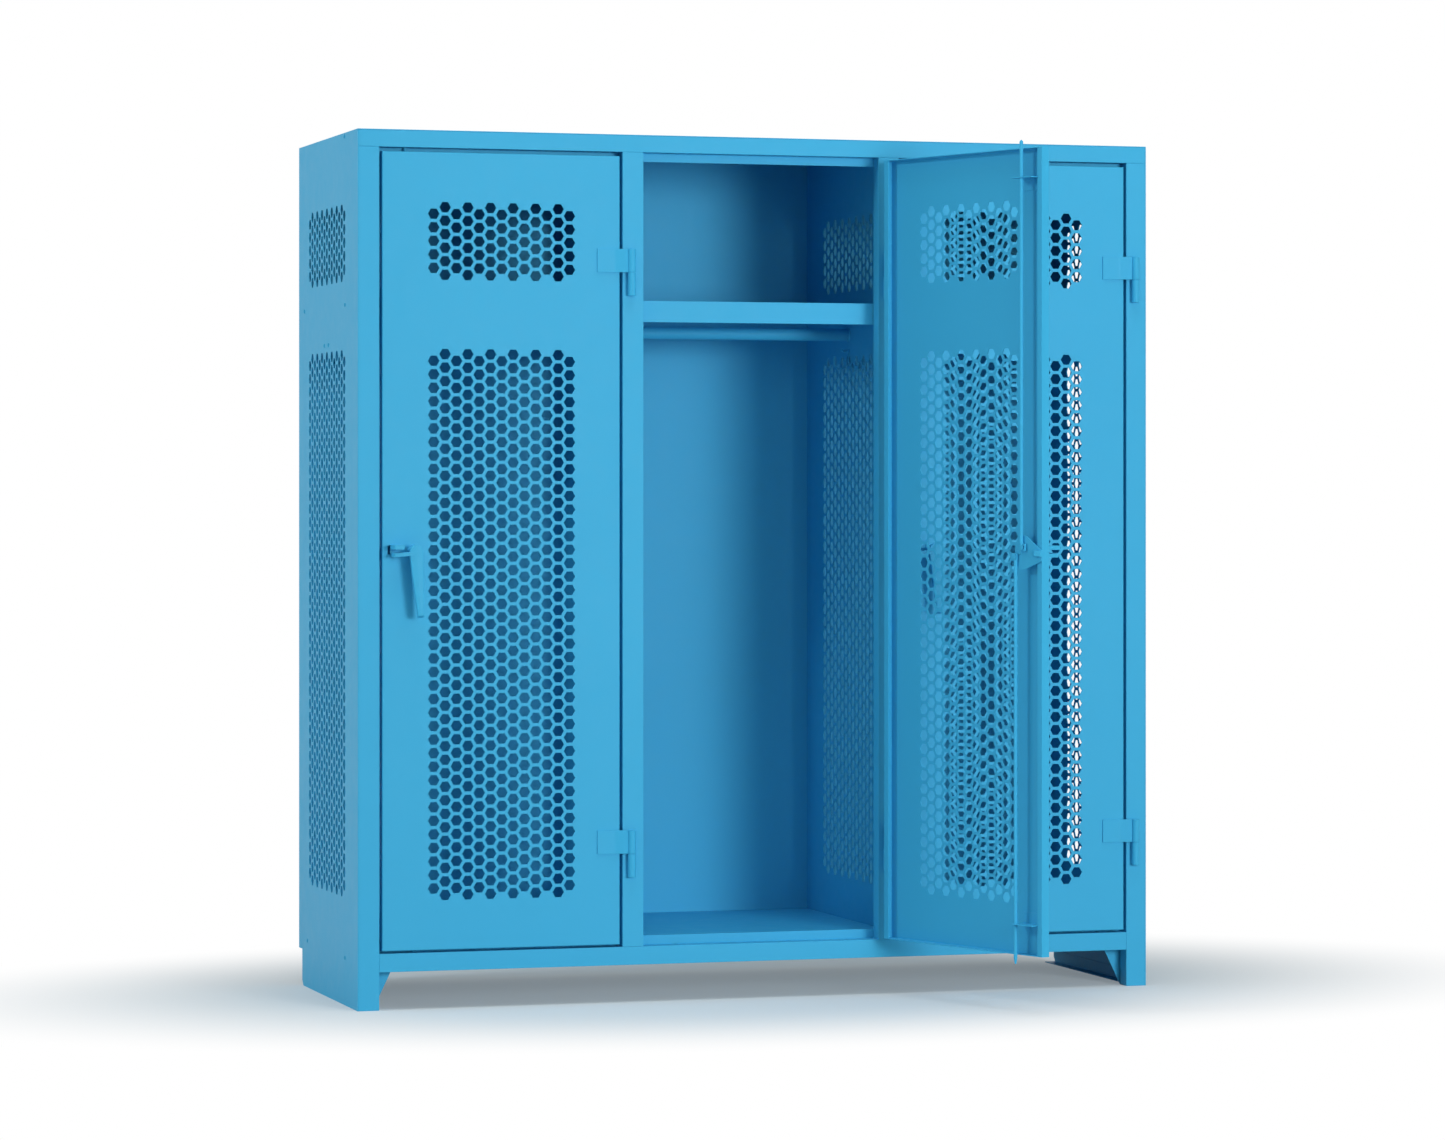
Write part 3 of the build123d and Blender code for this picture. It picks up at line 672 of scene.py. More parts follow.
def drilled(work, places):
    """Cut round holes for the lock rods through a folded beam, right across its height."""
    solid = bpy.data.meshes.new("beam")
    work.to_mesh(solid)
    work.free()
    beam = bpy.data.objects.new("beam", solid)
    bpy.context.scene.collection.objects.link(beam)
    levels = [vertex.co.z for vertex in solid.vertices]
    middle = (min(levels) + max(levels)) / 2
    reach = (max(levels) - min(levels)) / 2 + DRILL_SPARE
    drills = []
    for x, y in places:
        profile = [(0, -reach), (ROD_HOLE_RADIUS, -reach), (ROD_HOLE_RADIUS, reach), (0, reach)]
        drills.append(lathe_mesh(profile, Matrix.Translation((x, y, middle)), 24))
    drill = bpy.data.objects.new("drill", joined(drills, "drill"))
    bpy.context.scene.collection.objects.link(drill)
    cut = beam.modifiers.new("cut", "BOOLEAN")
    cut.operation = "DIFFERENCE"
    cut.solver = "EXACT"
    cut.object = drill
    mesh = bpy.data.meshes.new_from_object(beam.evaluated_get(bpy.context.evaluated_depsgraph_get()))
    bpy.data.objects.remove(beam)
    bpy.data.objects.remove(drill)
    work = bmesh.new()
    work.from_mesh(mesh)
    bpy.data.meshes.remove(mesh)
    return work


def rod_places(side):
    """Where the top rods (side 1) or the bottom rods (side -1) pass through the frame, in plan."""
    places = []
    for bay in BAYS:
        hub = handle_hub(bay)
        places.append((hub.x - side * ROD_FROM_SPINDLE, hub.y + ROD_FROM_FACE))
    return places


SHARP_FOLD = math.radians(35)


def softened(node, width, cuts=()):
    """A copy of a CAD node with merged faces and rounded edges, and round holes cut straight down."""
    work = bmesh.new()
    work.from_mesh(frame["nodes"][node].data)
    bmesh.ops.remove_doubles(work, verts=work.verts, dist=NODE_MERGE)
    bmesh.ops.dissolve_limit(work, angle_limit=NODE_FLAT, verts=work.verts, edges=work.edges)
    if cuts:
        work = drilled(work, cuts)
    closed = [edge for edge in work.edges if len(edge.link_faces) == 2]
    sharp = [edge for edge in closed if edge.calc_face_angle(0) > SHARP_FOLD]
    rounded(work, sharp, width, clamp=True)
    mesh = bpy.data.meshes.new(node)
    work.to_mesh(mesh)
    work.free()
    return mesh


PIN_OFFSET = 16.0 * MM / math.sqrt(2)
CAM_BACK = 26.0 * MM
WASHER_START = 33.1 * MM
WASHER_RADIUS = 6.5 * MM
WASHER_THICKNESS = 1.5 * MM
WASHER_EDGE = 0.3 * MM
WASHER_ROUND = 0.4 * MM
SCREW_HEAD_RADIUS = 5.6 * MM
SCREW_HEAD_HEIGHT = 2.2 * MM


def behind_door(bay, profile, across, back, up):
    """Turn a profile about an axis that runs back from the door, at a place from the handle's axis."""
    centre = handle_hub(bay) + Vector((across, back, up))
    place = handle_turn(bay) @ Matrix.Translation(centre) @ Matrix.Rotation(-math.pi / 2, 4, "X")
    return lathe_mesh(profile, place, 24)


def pin_washers(bay):
    """The round washers that keep the rod eyes on the cam's pins."""
    profile = [
        (0, 0), (WASHER_RADIUS - WASHER_EDGE, 0), (WASHER_RADIUS, WASHER_EDGE),
        (WASHER_RADIUS, WASHER_THICKNESS - WASHER_ROUND), (WASHER_RADIUS - WASHER_ROUND, WASHER_THICKNESS),
        (0, WASHER_THICKNESS),
    ]
    return [behind_door(bay, profile, x, WASHER_START, -x) for x in (-PIN_OFFSET, PIN_OFFSET)]


def screw_head(bay):
    """The low round head of the screw that holds the cam."""
    shares = ((0, 0), (1, 0), (1, 0.45), (0.75, 0.88), (0.4, 1), (0, 1))
    profile = [(SCREW_HEAD_RADIUS * across, SCREW_HEAD_HEIGHT * up) for across, up in shares]
    return behind_door(bay, profile, 0, CAM_BACK, 0)


SEAMED = ("left_post", "right_post", "left_mullion", "right_mullion", "header", "bottom_rail")


class LOCKER_OT_case(bpy.types.Operator):
    """Round the edges of the frame, floor, shelves, feet and lock parts"""
    bl_idname = "locker.case"
    bl_label = "Folded sheets and lock parts"

    def execute(self, context):
        sizes = context.scene.locker_sizes
        for node in frame["nodes"].values():
            node.data.materials.clear()
            node.data.materials.append(powder_coat())
        case_nodes = [
            "left_post", "right_post", "left_mullion", "right_mullion", "header", "bottom_rail", "top_panel",
            "back_panel", "floor_panel", "leg_gussets", "left_foot_angle", "right_foot_angle", "upper_stops",
            "lower_stops",
        ]
        case_nodes += [f"{bay}_shelf" for bay in BAYS]
        for node in case_nodes:
            side = {"header": 1, "bottom_rail": -1}.get(node)
            cuts = rod_places(side) if side else ()
            width = sizes.seam_round if node in SEAMED else sizes.edge_round
            finished(f"{node}_folded", softened(node, width, cuts=cuts), "case", [node])
        for bay in BAYS:
            for kind, body in (
                ("rod_guides", "door"), ("lock_cam", "handle"), ("cam_screw", "handle"),
                ("lock_spindle", "handle"),
            ):
                node = f"{bay}_{kind}"
                mesh = softened(node, sizes.edge_round)
                if kind == "lock_cam":
                    mesh = joined([mesh, *pin_washers(bay)], node)
                elif kind == "cam_screw":
                    bpy.data.meshes.remove(mesh)
                    mesh = screw_head(bay)
                finished(f"{node}_rounded", mesh, f"{bay}_{body}", [node], CREASE_LOCK)
        return {"FINISHED"}


# Handles, lugs and locks

LEVER_LENGTH = 143.0 * MM
LEVER_TOP = 15.2 * MM
LEVER_TIP = 7.0 * MM
LEVER_THICKNESS = 11.0 * MM
LEVER_TIP_FACET = 5.0 * MM
LEVER_TIP_TAPER = 1.0 * MM
LEVER_TIP_BACK = 1.8 * MM
LEVER_LIFT = 3.0 * MM
LEVER_BEVEL = 1.6 * MM
LEVER_RIDGE = 0.7 * MM
LEVER_ROUND = 0.9 * MM
BOSS_RADIUS = 12.0 * MM
BOSS_DEPTH = 31.0 * MM
FACE_GAP = 0.4 * MM
# Steps of the boss from the door outwards: how far inside its radius, and from its foot or its depth
BOSS_FOOT = ((0.6 * MM, FACE_GAP), (0.0, 1.0 * MM), (0.0, 3.4 * MM), (1.2 * MM, 4.6 * MM))
BOSS_HEAD = ((1.2 * MM, -3.0 * MM), (0.0, 0.5 * MM))
BOSS_DOME = 2.0 * MM
ARM_REACH = 49.0 * MM
ARM_TOP = 0.5 * MM
ARM_THICKNESS = 8.5 * MM
ARM_DEPTHS = (8.0 * MM, 41.8 * MM)
ARM_CORNER = 3.5 * MM
ARM_ROUND = 0.7 * MM
PADLOCK_PLACE = (-42.0 * MM, 17.0 * MM)
ARM_HOLE = 5.0 * MM
LUG_ENDS = (-49.4 * MM, -27.0 * MM)
LUG_BOTTOM = 5.0 * MM
LUG_THICKNESS = 9.5 * MM
LUG_DEPTH = 47.0 * MM
LUG_HOLE = 5.0 * MM
LUG_CORNER = 2.5 * MM
LUG_ROUND = 0.6 * MM


def lever_mesh(place):
    """The cast lever: round at the hub, tapering and leaning out to a bevelled tip, with a low ridge."""
    turns = [math.radians(angle) for angle in (84, 70, 54, 36, 18)]
    stations = [(LEVER_TOP * math.sin(t), LEVER_TOP * math.cos(t), 0.0) for t in turns]
    straight = LEVER_LENGTH - LEVER_TIP_FACET
    for share in (0, 0.08, 0.2, 0.4, 0.6, 0.8, 0.95):
        stations.append((-straight * share, LEVER_TOP + (LEVER_TIP - LEVER_TOP) * share, 0.0))
    stations.append((-straight, LEVER_TIP, 0.0))
    stations.append((-LEVER_LENGTH, LEVER_TIP - LEVER_TIP_TAPER, LEVER_THICKNESS - LEVER_TIP_BACK))
    sections = []
    for up, half, cut in stations:
        lean = LEVER_LIFT * max(0.0, -up - BOSS_RADIUS) / (LEVER_LENGTH - BOSS_RADIUS)
        back = BOSS_DEPTH + lean
        front = back + LEVER_THICKNESS - cut
        edge = min(LEVER_BEVEL, half * 0.3)
        outline = [
            (-half, back), (half, back), (half, front - edge), (half - edge, front - LEVER_RIDGE),
            (0, front), (-half + edge, front - LEVER_RIDGE), (-half, front - edge),
        ]
        sections.append([(x, up, depth) for x, depth in eased(outline, LEVER_ROUND, 2)])
    return loft_mesh(sections, place)


class LOCKER_OT_handles(bpy.types.Operator):
    """Make the cast lever handles with their padlock arms, and the fixed lugs beside them"""
    bl_idname = "locker.handles"
    bl_label = "Handles and padlock lugs"

    def execute(self, context):
        for bay in BAYS:
            hub = handle_hub(bay)
            front = upright_place(hub, (1, 0, 0), (0, -1, 0))
            flat = Matrix.Translation(hub) @ Matrix(((1, 0, 0), (0, -1, 0), (0, 0, 1))).to_4x4()
            turned = handle_turn(bay) @ front
            boss = [(0, FACE_GAP)]
            boss += [(BOSS_RADIUS - inset, height) for inset, height in BOSS_FOOT]
            boss += [(BOSS_RADIUS - inset, BOSS_DEPTH + height) for inset, height in BOSS_HEAD]
            boss += [(0, BOSS_DEPTH + BOSS_DOME)]
            outline = eased(rectangle((-ARM_REACH, ARM_DEPTHS[0]), (0, ARM_DEPTHS[1])), ARM_CORNER)
            hole = round_outline(PADLOCK_PLACE, ARM_HOLE)
            arm_place = handle_turn(bay) @ flat @ Matrix.Translation((0, 0, ARM_TOP - ARM_THICKNESS))
            mesh = joined([
                lever_mesh(turned),
                lathe_mesh(boss, turned),
                plate_mesh(outline, [hole], ARM_THICKNESS, arm_place, ARM_ROUND),
            ], "handle")
            finished(f"{bay}_handle_cast", mesh, f"{bay}_handle", [f"{bay}_lever_handle"], CREASE_CAST)
            outline = eased(rectangle((LUG_ENDS[0], 0), (LUG_ENDS[1], LUG_DEPTH)), LUG_CORNER)
            hole = round_outline(PADLOCK_PLACE, LUG_HOLE)
            lug_place = door_turn(bay) @ flat @ Matrix.Translation((0, 0, LUG_BOTTOM))
            mesh = plate_mesh(outline, [hole], LUG_THICKNESS, lug_place, LUG_ROUND)
            finished(f"{bay}_lug_bar", mesh, f"{bay}_door", [f"{bay}_padlock_lug"], CREASE_CAST)
        return {"FINISHED"}


ROD_RADIUS = 4.0 * MM
ROD_FROM_SPINDLE = 9.5 * MM
ROD_FROM_FACE = 30.5 * MM
ROD_REACHES = {"top": 16.7 * MM, "bottom": 18.9 * MM}
ROD_POINTS = {"top": 4.0 * MM, "bottom": 13.0 * MM}
ROD_HOLE_RADIUS = 5.2 * MM
EYE_INNER = 4.8 * MM
EYE_OUTER = 23.0 * MM
EYE_HEIGHT = 16.0 * MM
EYE_THICKNESS = 4.0 * MM
SLOT_ENDS = (7.1 * MM, 20.2 * MM)
SLOT_HALF = 3.8 * MM
SLOT_CORNER = 1.0 * MM
EYE_CORNER = 3.0 * MM
ROD_OVERLAP = 2.0 * MM
ROD_BLUNT = 0.8 * MM


class LOCKER_OT_rods(bpy.types.Operator):
    """Make the round lock rods with the slotted eyes that the cam pins drive"""
    bl_idname = "locker.rods"
    bl_label = "Lock rods"

    def execute(self, context):
        for bay in BAYS:
            hub = handle_hub(bay)
            for side, kind in ((1, "top"), (-1, "bottom")):
                node = f"{bay}_{kind}_rod"
                low, high = closed_box(bay, node)
                panel = closed_box(bay, f"{bay}_door_panel")
                inner = low.z if side > 0 else high.z
                outer = panel[1].z + ROD_REACHES[kind] if side > 0 else panel[0].z - ROD_REACHES[kind]
                axis = Vector((hub.x - side * ROD_FROM_SPINDLE, hub.y + ROD_FROM_FACE, inner))
                length = abs(outer - inner)
                profile = [
                    (0, EYE_HEIGHT - ROD_OVERLAP), (ROD_RADIUS, EYE_HEIGHT - ROD_OVERLAP),
                    (ROD_RADIUS, length - ROD_POINTS[kind]), (ROD_RADIUS * 0.45, length - ROD_BLUNT),
                    (ROD_RADIUS * 0.25, length), (0, length),
                ]
                upright = Matrix.Translation(axis) @ Matrix.Rotation(0 if side > 0 else math.pi, 4, "X")
                rod = lathe_mesh(profile, door_turn(bay) @ upright, 24)
                plan = rectangle((-side * EYE_INNER, 0), (-side * EYE_OUTER, side * EYE_HEIGHT))
                middle = side * EYE_HEIGHT / 2
                slot = rectangle(
                    (-side * SLOT_ENDS[0], middle - SLOT_HALF), (-side * SLOT_ENDS[1], middle + SLOT_HALF)
                )
                origin = Vector((hub.x, hub.y + ROD_FROM_FACE + EYE_THICKNESS / 2, inner))
                place = door_turn(bay) @ upright_place(origin, (1, 0, 0), (0, -1, 0))
                slot = eased(slot, SLOT_CORNER, 2)
                eye = plate_mesh(eased(plan, EYE_CORNER), [slot], EYE_THICKNESS, place)
                finished(f"{node}_round", joined([rod, eye], "rod"), node, [node])
        return {"FINISHED"}


# Hinges

BARREL_RADIUS = 8.75 * MM
BARREL_EDGE = 0.8 * MM
PIN_RADIUS = 4.5 * MM
PIN_CLEARANCE = 0.1 * MM
BARREL_CAP = 5.0 * MM
LEAF_THICKNESS = 3.0 * MM
LEAF_REACH = 51.7 * MM
LEAF_FLAT = 41.0 * MM
AXIS_FROM_DOOR = 25.0 * MM
KNUCKLE_GAP = 0.3 * MM
PIN_SHORTER = 0.5 * MM
PIN_CHAMFER = 1.5 * MM
LEAF_ROUND = 0.5 * MM
LEAF_BENDS = (3.0 * MM, 4.5 * MM)
LEAF_BEND_SHIFT = 1.0 * MM
WELD_SETBACK = 1.2 * MM
WELD_ROUND = 0.4 * MM
WELD_STEPS = ((7.4 * MM, 0.0), (6.2 * MM, 1.5 * MM), (5.9 * MM, 3.2 * MM))


class LOCKER_OT_hinges(bpy.types.Operator):
    """Make the lift-off hinges: bent leaves with barrels on the doors, pinned barrels on the frame"""
    bl_idname = "locker.hinges"
    bl_label = "Lift-off hinges"

    def execute(self, context):
        for bay in BAYS:
            axis = hinge_place(bay)[0]
            reach = handle_hub(bay).y - axis.y
            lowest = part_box(f"{bay}_frame_knuckles")[0][2]
            leaves = closed_box(bay, f"{bay}_hinge_leaves")
            knuckle = leaves[0].z - KNUCKLE_GAP - lowest
            rise = leaves[1].z - knuckle - leaves[0].z
            pin_top = 2 * knuckle + KNUCKLE_GAP - BARREL_CAP - PIN_SHORTER
            pinned_barrel = [
                (0, 0), (BARREL_RADIUS - BARREL_EDGE, 0), (BARREL_RADIUS, BARREL_EDGE),
                (BARREL_RADIUS, knuckle - BARREL_EDGE), (BARREL_RADIUS - BARREL_EDGE, knuckle),
                (PIN_RADIUS, knuckle), (PIN_RADIUS, pin_top - PIN_CHAMFER),
                (PIN_RADIUS - PIN_CHAMFER, pin_top), (0, pin_top),
            ]
            bore = PIN_RADIUS + PIN_CLEARANCE
            bored_barrel = [
                (0, knuckle - BARREL_CAP), (bore, knuckle - BARREL_CAP), (bore, 0),
                (BARREL_RADIUS - BARREL_EDGE, 0), (BARREL_RADIUS, BARREL_EDGE),
                (BARREL_RADIUS, knuckle - BARREL_EDGE), (BARREL_RADIUS - BARREL_EDGE, knuckle), (0, knuckle),
            ]
            weld = [(-half, reach - depth) for half, depth in WELD_STEPS]
            weld += [(-x, y) for x, y in reversed(weld)]
            start = -AXIS_FROM_DOOR - LEAF_REACH
            bend = start + LEAF_FLAT
            wrap = BARREL_RADIUS * 0.6
            leaf = leaf_outline([
                (start, reach), (bend, reach), (-wrap, LEAF_THICKNESS * 0.7), (-wrap, -LEAF_THICKNESS * 0.5),
                (bend - LEAF_BEND_SHIFT, reach - LEAF_THICKNESS), (start, reach - LEAF_THICKNESS),
            ])
            lower_parts = []
            upper_parts = []
            for base in (lowest, lowest + rise):
                foot = Matrix.Translation((axis.x, axis.y, base))
                weld_place = foot @ Matrix.Translation((0, 0, WELD_SETBACK))
                lower_parts.append(lathe_mesh(pinned_barrel, foot, 36))
                lower_parts.append(prism_mesh(weld, knuckle - 2 * WELD_SETBACK, weld_place, WELD_ROUND))
                head = door_turn(bay) @ foot @ Matrix.Translation((0, 0, knuckle + KNUCKLE_GAP))
                upper_parts.append(lathe_mesh(bored_barrel, head, 36))
                upper_parts.append(plate_mesh(leaf, [], knuckle, head, LEAF_ROUND))
            mesh = joined(lower_parts, "barrels")
            finished(f"{bay}_frame_barrels", mesh, "case", [f"{bay}_frame_knuckles"])
            mesh = joined(upper_parts, "leaves")
            finished(f"{bay}_leaf_barrels", mesh, f"{bay}_door", [f"{bay}_hinge_leaves"])
        return {"FINISHED"}


def leaf_outline(outline):
    """Round the two bends of a hinge leaf and leave its cut ends square."""
    start, bend, inner, outer, upper_bend, end = outline
    inner_bend = eased([start, bend, inner], LEAF_BENDS[0], 4)[5:10]
    outer_bend = eased([outer, upper_bend, end], LEAF_BENDS[1], 4)[5:10]
    return [start, *inner_bend, inner, outer, *outer_bend, end]


# Things inside the bays

HOOK_WIRE = 2.5 * MM
HOOK_PLATE_HEIGHT = 30.0 * MM
HOOK_PLATE_THICKNESS = 3.0 * MM
HOOK_PLATE_WIDTH = 16.0 * MM
HOOK_REACH = 36.0 * MM
HOOK_TOP_REACH = 17.0 * MM
HOOK_TIP_RISE = 12.0 * MM
HOOK_TOP_HEIGHT = 5.0 * MM
HOOK_PLATE_CORNER = 0.8 * MM
HOOK_PLATE_ROUND = 0.4 * MM
HOOK_ROOT = 0.5 * MM
COAT_ROD_RADIUS = 14.0 * MM
# The weld at a rod's end: how far it stands out from the rod, and how far from the wall
ROD_WELD_STEPS = ((2.0 * MM, 0.0), (1.7 * MM, 1.0 * MM), (0.6 * MM, 2.0 * MM), (0.0, 2.8 * MM))


def arc_points(middle, radius, start, end, steps):
    """Points along an arc, from one angle to another."""
    angles = [start + (end - start) * step / steps for step in range(steps + 1)]
    return [(middle[0] + radius * math.cos(a), middle[1] + radius * math.sin(a)) for a in angles]


def hook_mesh(wall, outward, top):
    """A double coat hook: a wall plate, a short prong above and a long one that curls up below."""
    place = upright_place((wall, 0, top), (outward, 0, 0), (0, -outward, 0))
    half = HOOK_PLATE_WIDTH / 2
    corners = rectangle((0, 0), (HOOK_PLATE_THICKNESS, -HOOK_PLATE_HEIGHT))
    start = place @ Matrix.Translation((0, 0, -half))
    plate = prism_mesh(eased(corners, HOOK_PLATE_CORNER, 2), HOOK_PLATE_WIDTH, start, HOOK_PLATE_ROUND)
    inner = HOOK_PLATE_THICKNESS + HOOK_WIRE
    outer = HOOK_REACH - HOOK_WIRE
    bend = (outer - inner) / 2
    lower = [(inner, -HOOK_PLATE_HEIGHT * 0.62)]
    lower += arc_points((inner + bend, -HOOK_PLATE_HEIGHT), bend, math.pi, math.tau, 20)
    lower += [(outer, -HOOK_PLATE_HEIGHT + HOOK_TIP_RISE)]
    reach = HOOK_TOP_REACH * 0.55
    upper = [(HOOK_ROOT, -HOOK_TOP_HEIGHT), (reach, -HOOK_TOP_HEIGHT)]
    upper += arc_points((reach, 0), HOOK_TOP_HEIGHT, -math.pi / 2, -math.pi / 8, 6)
    knob = [(0, -HOOK_WIRE * 1.1)]
    knob += arc_points((0, 0), HOOK_WIRE * 1.25, -math.pi / 3, math.pi / 3, 4)
    knob += [(0, HOOK_WIRE * 1.25)]
    parts = [plate]
    for path in (lower, upper):
        parts.append(wire_mesh([(x, y, 0) for x, y in path], HOOK_WIRE, place))
        end = place @ Matrix.Translation((*path[-1], 0)) @ Matrix.Rotation(-math.pi / 2, 4, "X")
        parts.append(lathe_mesh(knob, end, 16))
    return joined(parts, "hook")


class LOCKER_OT_inside(bpy.types.Operator):
    """Make the coat rods with a weld at each end, and the double coat hooks"""
    bl_idname = "locker.inside"
    bl_label = "Coat rods and hooks"

    def execute(self, context):
        hooks = []
        for bay in BAYS:
            low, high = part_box(f"{bay}_coat_rod")
            middle = (low[2] + high[2]) / 2
            length = high[0] - low[0]
            profile = [(0, 0)]
            profile += [(COAT_ROD_RADIUS + out, along) for out, along in ROD_WELD_STEPS]
            profile += [(COAT_ROD_RADIUS, length / 2)]
            mirrored = [(radius, length - height) for radius, height in reversed(profile[:-1])]
            across = Matrix.Translation((low[0], 0, middle)) @ Matrix.Rotation(math.pi / 2, 4, "Y")
            mesh = lathe_mesh(profile + mirrored, across, 48)
            finished(f"{bay}_hanging_rod", mesh, "case", [f"{bay}_coat_rod"])
            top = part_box("coat_hooks")[1][2]
            hooks.append(hook_mesh(low[0], 1, top))
            hooks.append(hook_mesh(high[0], -1, top))
        finished("double_hooks", joined(hooks, "hooks"), "case", ["coat_hooks"])
        return {"FINISHED"}


# Rivet heads

def rivet_tree():
    """A low round head on each point it is given."""
    tree, given = new_tree("Rivet heads", (
        ("Points", "Geometry"), ("Radius", "Float"), ("Height", "Float"), ("Finish", "Material"),
    ))
    ball = add_node(tree, "GeometryNodeMeshUVSphere", {"Segments": 16, "Rings": 8, "Radius": 1.0})
    shape = add_node(
        tree, "ShaderNodeCombineXYZ", {"X": given["Height"], "Y": given["Radius"], "Z": given["Radius"]}
    )
    head = add_node(tree, "GeometryNodeTransform", {"Geometry": ball, "Scale": shape})
    copies = add_node(tree, "GeometryNodeInstanceOnPoints", {"Points": given["Points"], "Instance": head})
    whole = add_node(tree, "GeometryNodeRealizeInstances", {"Geometry": copies})
    coated = add_node(tree, "GeometryNodeSetMaterial", {"Geometry": whole, "Material": given["Finish"]})
    add_node(tree, "NodeGroupOutput", {"Geometry": coated})
    return tree


# Distance behind the front and height of each rivet, in millimetres
SIDE_RIVETS = (
    (133.8, 1897.0), (127.8, 1529.0), (551.8, 1530.0), (296.6, 1446.0), (339.3, 1446.0), (519.2, 106.0),
    (126.8, 104.0),
)


class LOCKER_OT_rivets(bpy.types.Operator):
    """Put the low rivet heads on both outer sides"""
    bl_idname = "locker.rivets"
    bl_label = "Rivet heads"

    def execute(self, context):
        sizes = context.scene.locker_sizes
        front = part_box("header")[0][1]
        tree = rivet_tree()
        faces = {"left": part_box("left_side_panel")[0][0], "right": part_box("right_side_panel")[1][0]}
        for side, face in faces.items():
            points = bpy.data.meshes.new("points")
            places = [(face, front + depth * MM, height * MM) for depth, height in SIDE_RIVETS]
            points.from_pydata(places, [], [])
            mesh = grown(tree, points, {
                "Radius": sizes.rivet_radius, "Height": sizes.rivet_height, "Finish": powder_coat(),
            })
            finished(f"{side}_rivets", mesh, "case", crease=CREASE_RIVET)
        return {"FINISHED"}


# Stage

FLOOR_REACH = 30.0
# The floor's grey paint shows only inside an oval round the case and fades to plain white outside it. This is
# painted shade round the case's foot, on top of the real shadows from the lamps. The lift is an even glow
# that makes those shadows paler.
FLOOR_PAINT = "#BFC9CD"
FLOOR_LIFT = "#EFFBFF"
SHADOW_REACH = (2.4, 1.5)
SHADOW_FADE = (0.34, 0.86)
WORLD_LIGHT = "#FAFCFF"
WORLD_STRENGTH = 0.22
WHITE = (1, 1, 1, 1)

# Each lamp's name, place, aim, width and power
LAMPS = (
    ("key", (2.3, -8.3, 1.6), (0, 0, 1.1), 2.2, 318),
    ("front", (0.6, -9.6, 2.9), (0, 0, 1.1), 3.0, 80),
    ("left", (-7.5, 0.8, 0.8), (0, 0, 0.8), 2.0, 66),
    ("high_left", (-6.0, -0.8, 4.2), (0, 0, 1.4), 1.2, 105),
    ("top", (0.0, -1.6, 6.5), (0, -0.4, 0.0), 4.0, 130),
)

# The camera was fitted to a frame of this width, in pixels
FRAME_WIDTH = 1445
FOCAL_PIXELS = 4696.2254
SHIFT_PIXELS = -76.106
SENSOR_WIDTH = 36.0
CAMERA_PLACE = (-3.13635, -10.21832, 1.11642)
CAMERA_TURN = -0.2980044


def seen_directly(tree):
    """One for rays from the camera, from gloss and through glass, which see the white surround."""
    path = add_node(tree, "ShaderNodeLightPath").outputs
    either = add_node(
        tree, "ShaderNodeMath", {0: path["Is Camera Ray"], 1: path["Is Glossy Ray"]}, operation="MAXIMUM"
    )
    return add_node(
        tree, "ShaderNodeMath", {0: either, 1: path["Is Transmission Ray"]}, operation="MAXIMUM"
    )


def floor_finish(lift_strength):
    """Matt studio paint: it takes soft shadows, and goes over into the white surround further out; the grey
    zone round the case is partly the lamps' cast shadow and partly painted shade.
    """
    material = bpy.data.materials.new("Matt studio floor")
    material.use_nodes = True
    tree = material.node_tree
    tree.nodes.clear()
    paint = add_node(
        tree, "ShaderNodeBsdfPrincipled",
        {"Base Color": linear(FLOOR_PAINT), "Roughness": 0.9, "Specular IOR Level": 0.1},
    )
    lift = add_node(tree, "ShaderNodeEmission", {"Color": linear(FLOOR_LIFT), "Strength": lift_strength})
    shaded = add_node(tree, "ShaderNodeAddShader", {0: paint, 1: lift})
    white = add_node(tree, "ShaderNodeEmission", {"Color": WHITE, "Strength": 1.0})
    place = add_node(tree, "ShaderNodeTexCoord").outputs["Object"]
    # Painted shade: inside this oval the camera sees the grey paint under the lamps, with their shadows and
    # the even lift; further out it sees plain white.
    shares = (1 / SHADOW_REACH[0], 1 / SHADOW_REACH[1], 0)
    oval = add_node(tree, "ShaderNodeVectorMath", {0: place, 1: shares}, operation="MULTIPLY")
    reach = add_node(tree, "ShaderNodeVectorMath", {0: oval}, operation="LENGTH")
    painted_shade_fade = add_node(
        tree, "ShaderNodeMapRange",
        {"Value": reach.outputs["Value"], "From Min": SHADOW_FADE[0], "From Max": SHADOW_FADE[1]},
        interpolation_type="SMOOTHSTEP",
    )
    pale = add_node(tree, "ShaderNodeMixShader", {0: painted_shade_fade, 1: shaded, 2: white})
    mixed = add_node(tree, "ShaderNodeMixShader", {0: seen_directly(tree), 1: paint, 2: pale})
    add_node(tree, "ShaderNodeOutputMaterial", {"Surface": mixed})
    return material


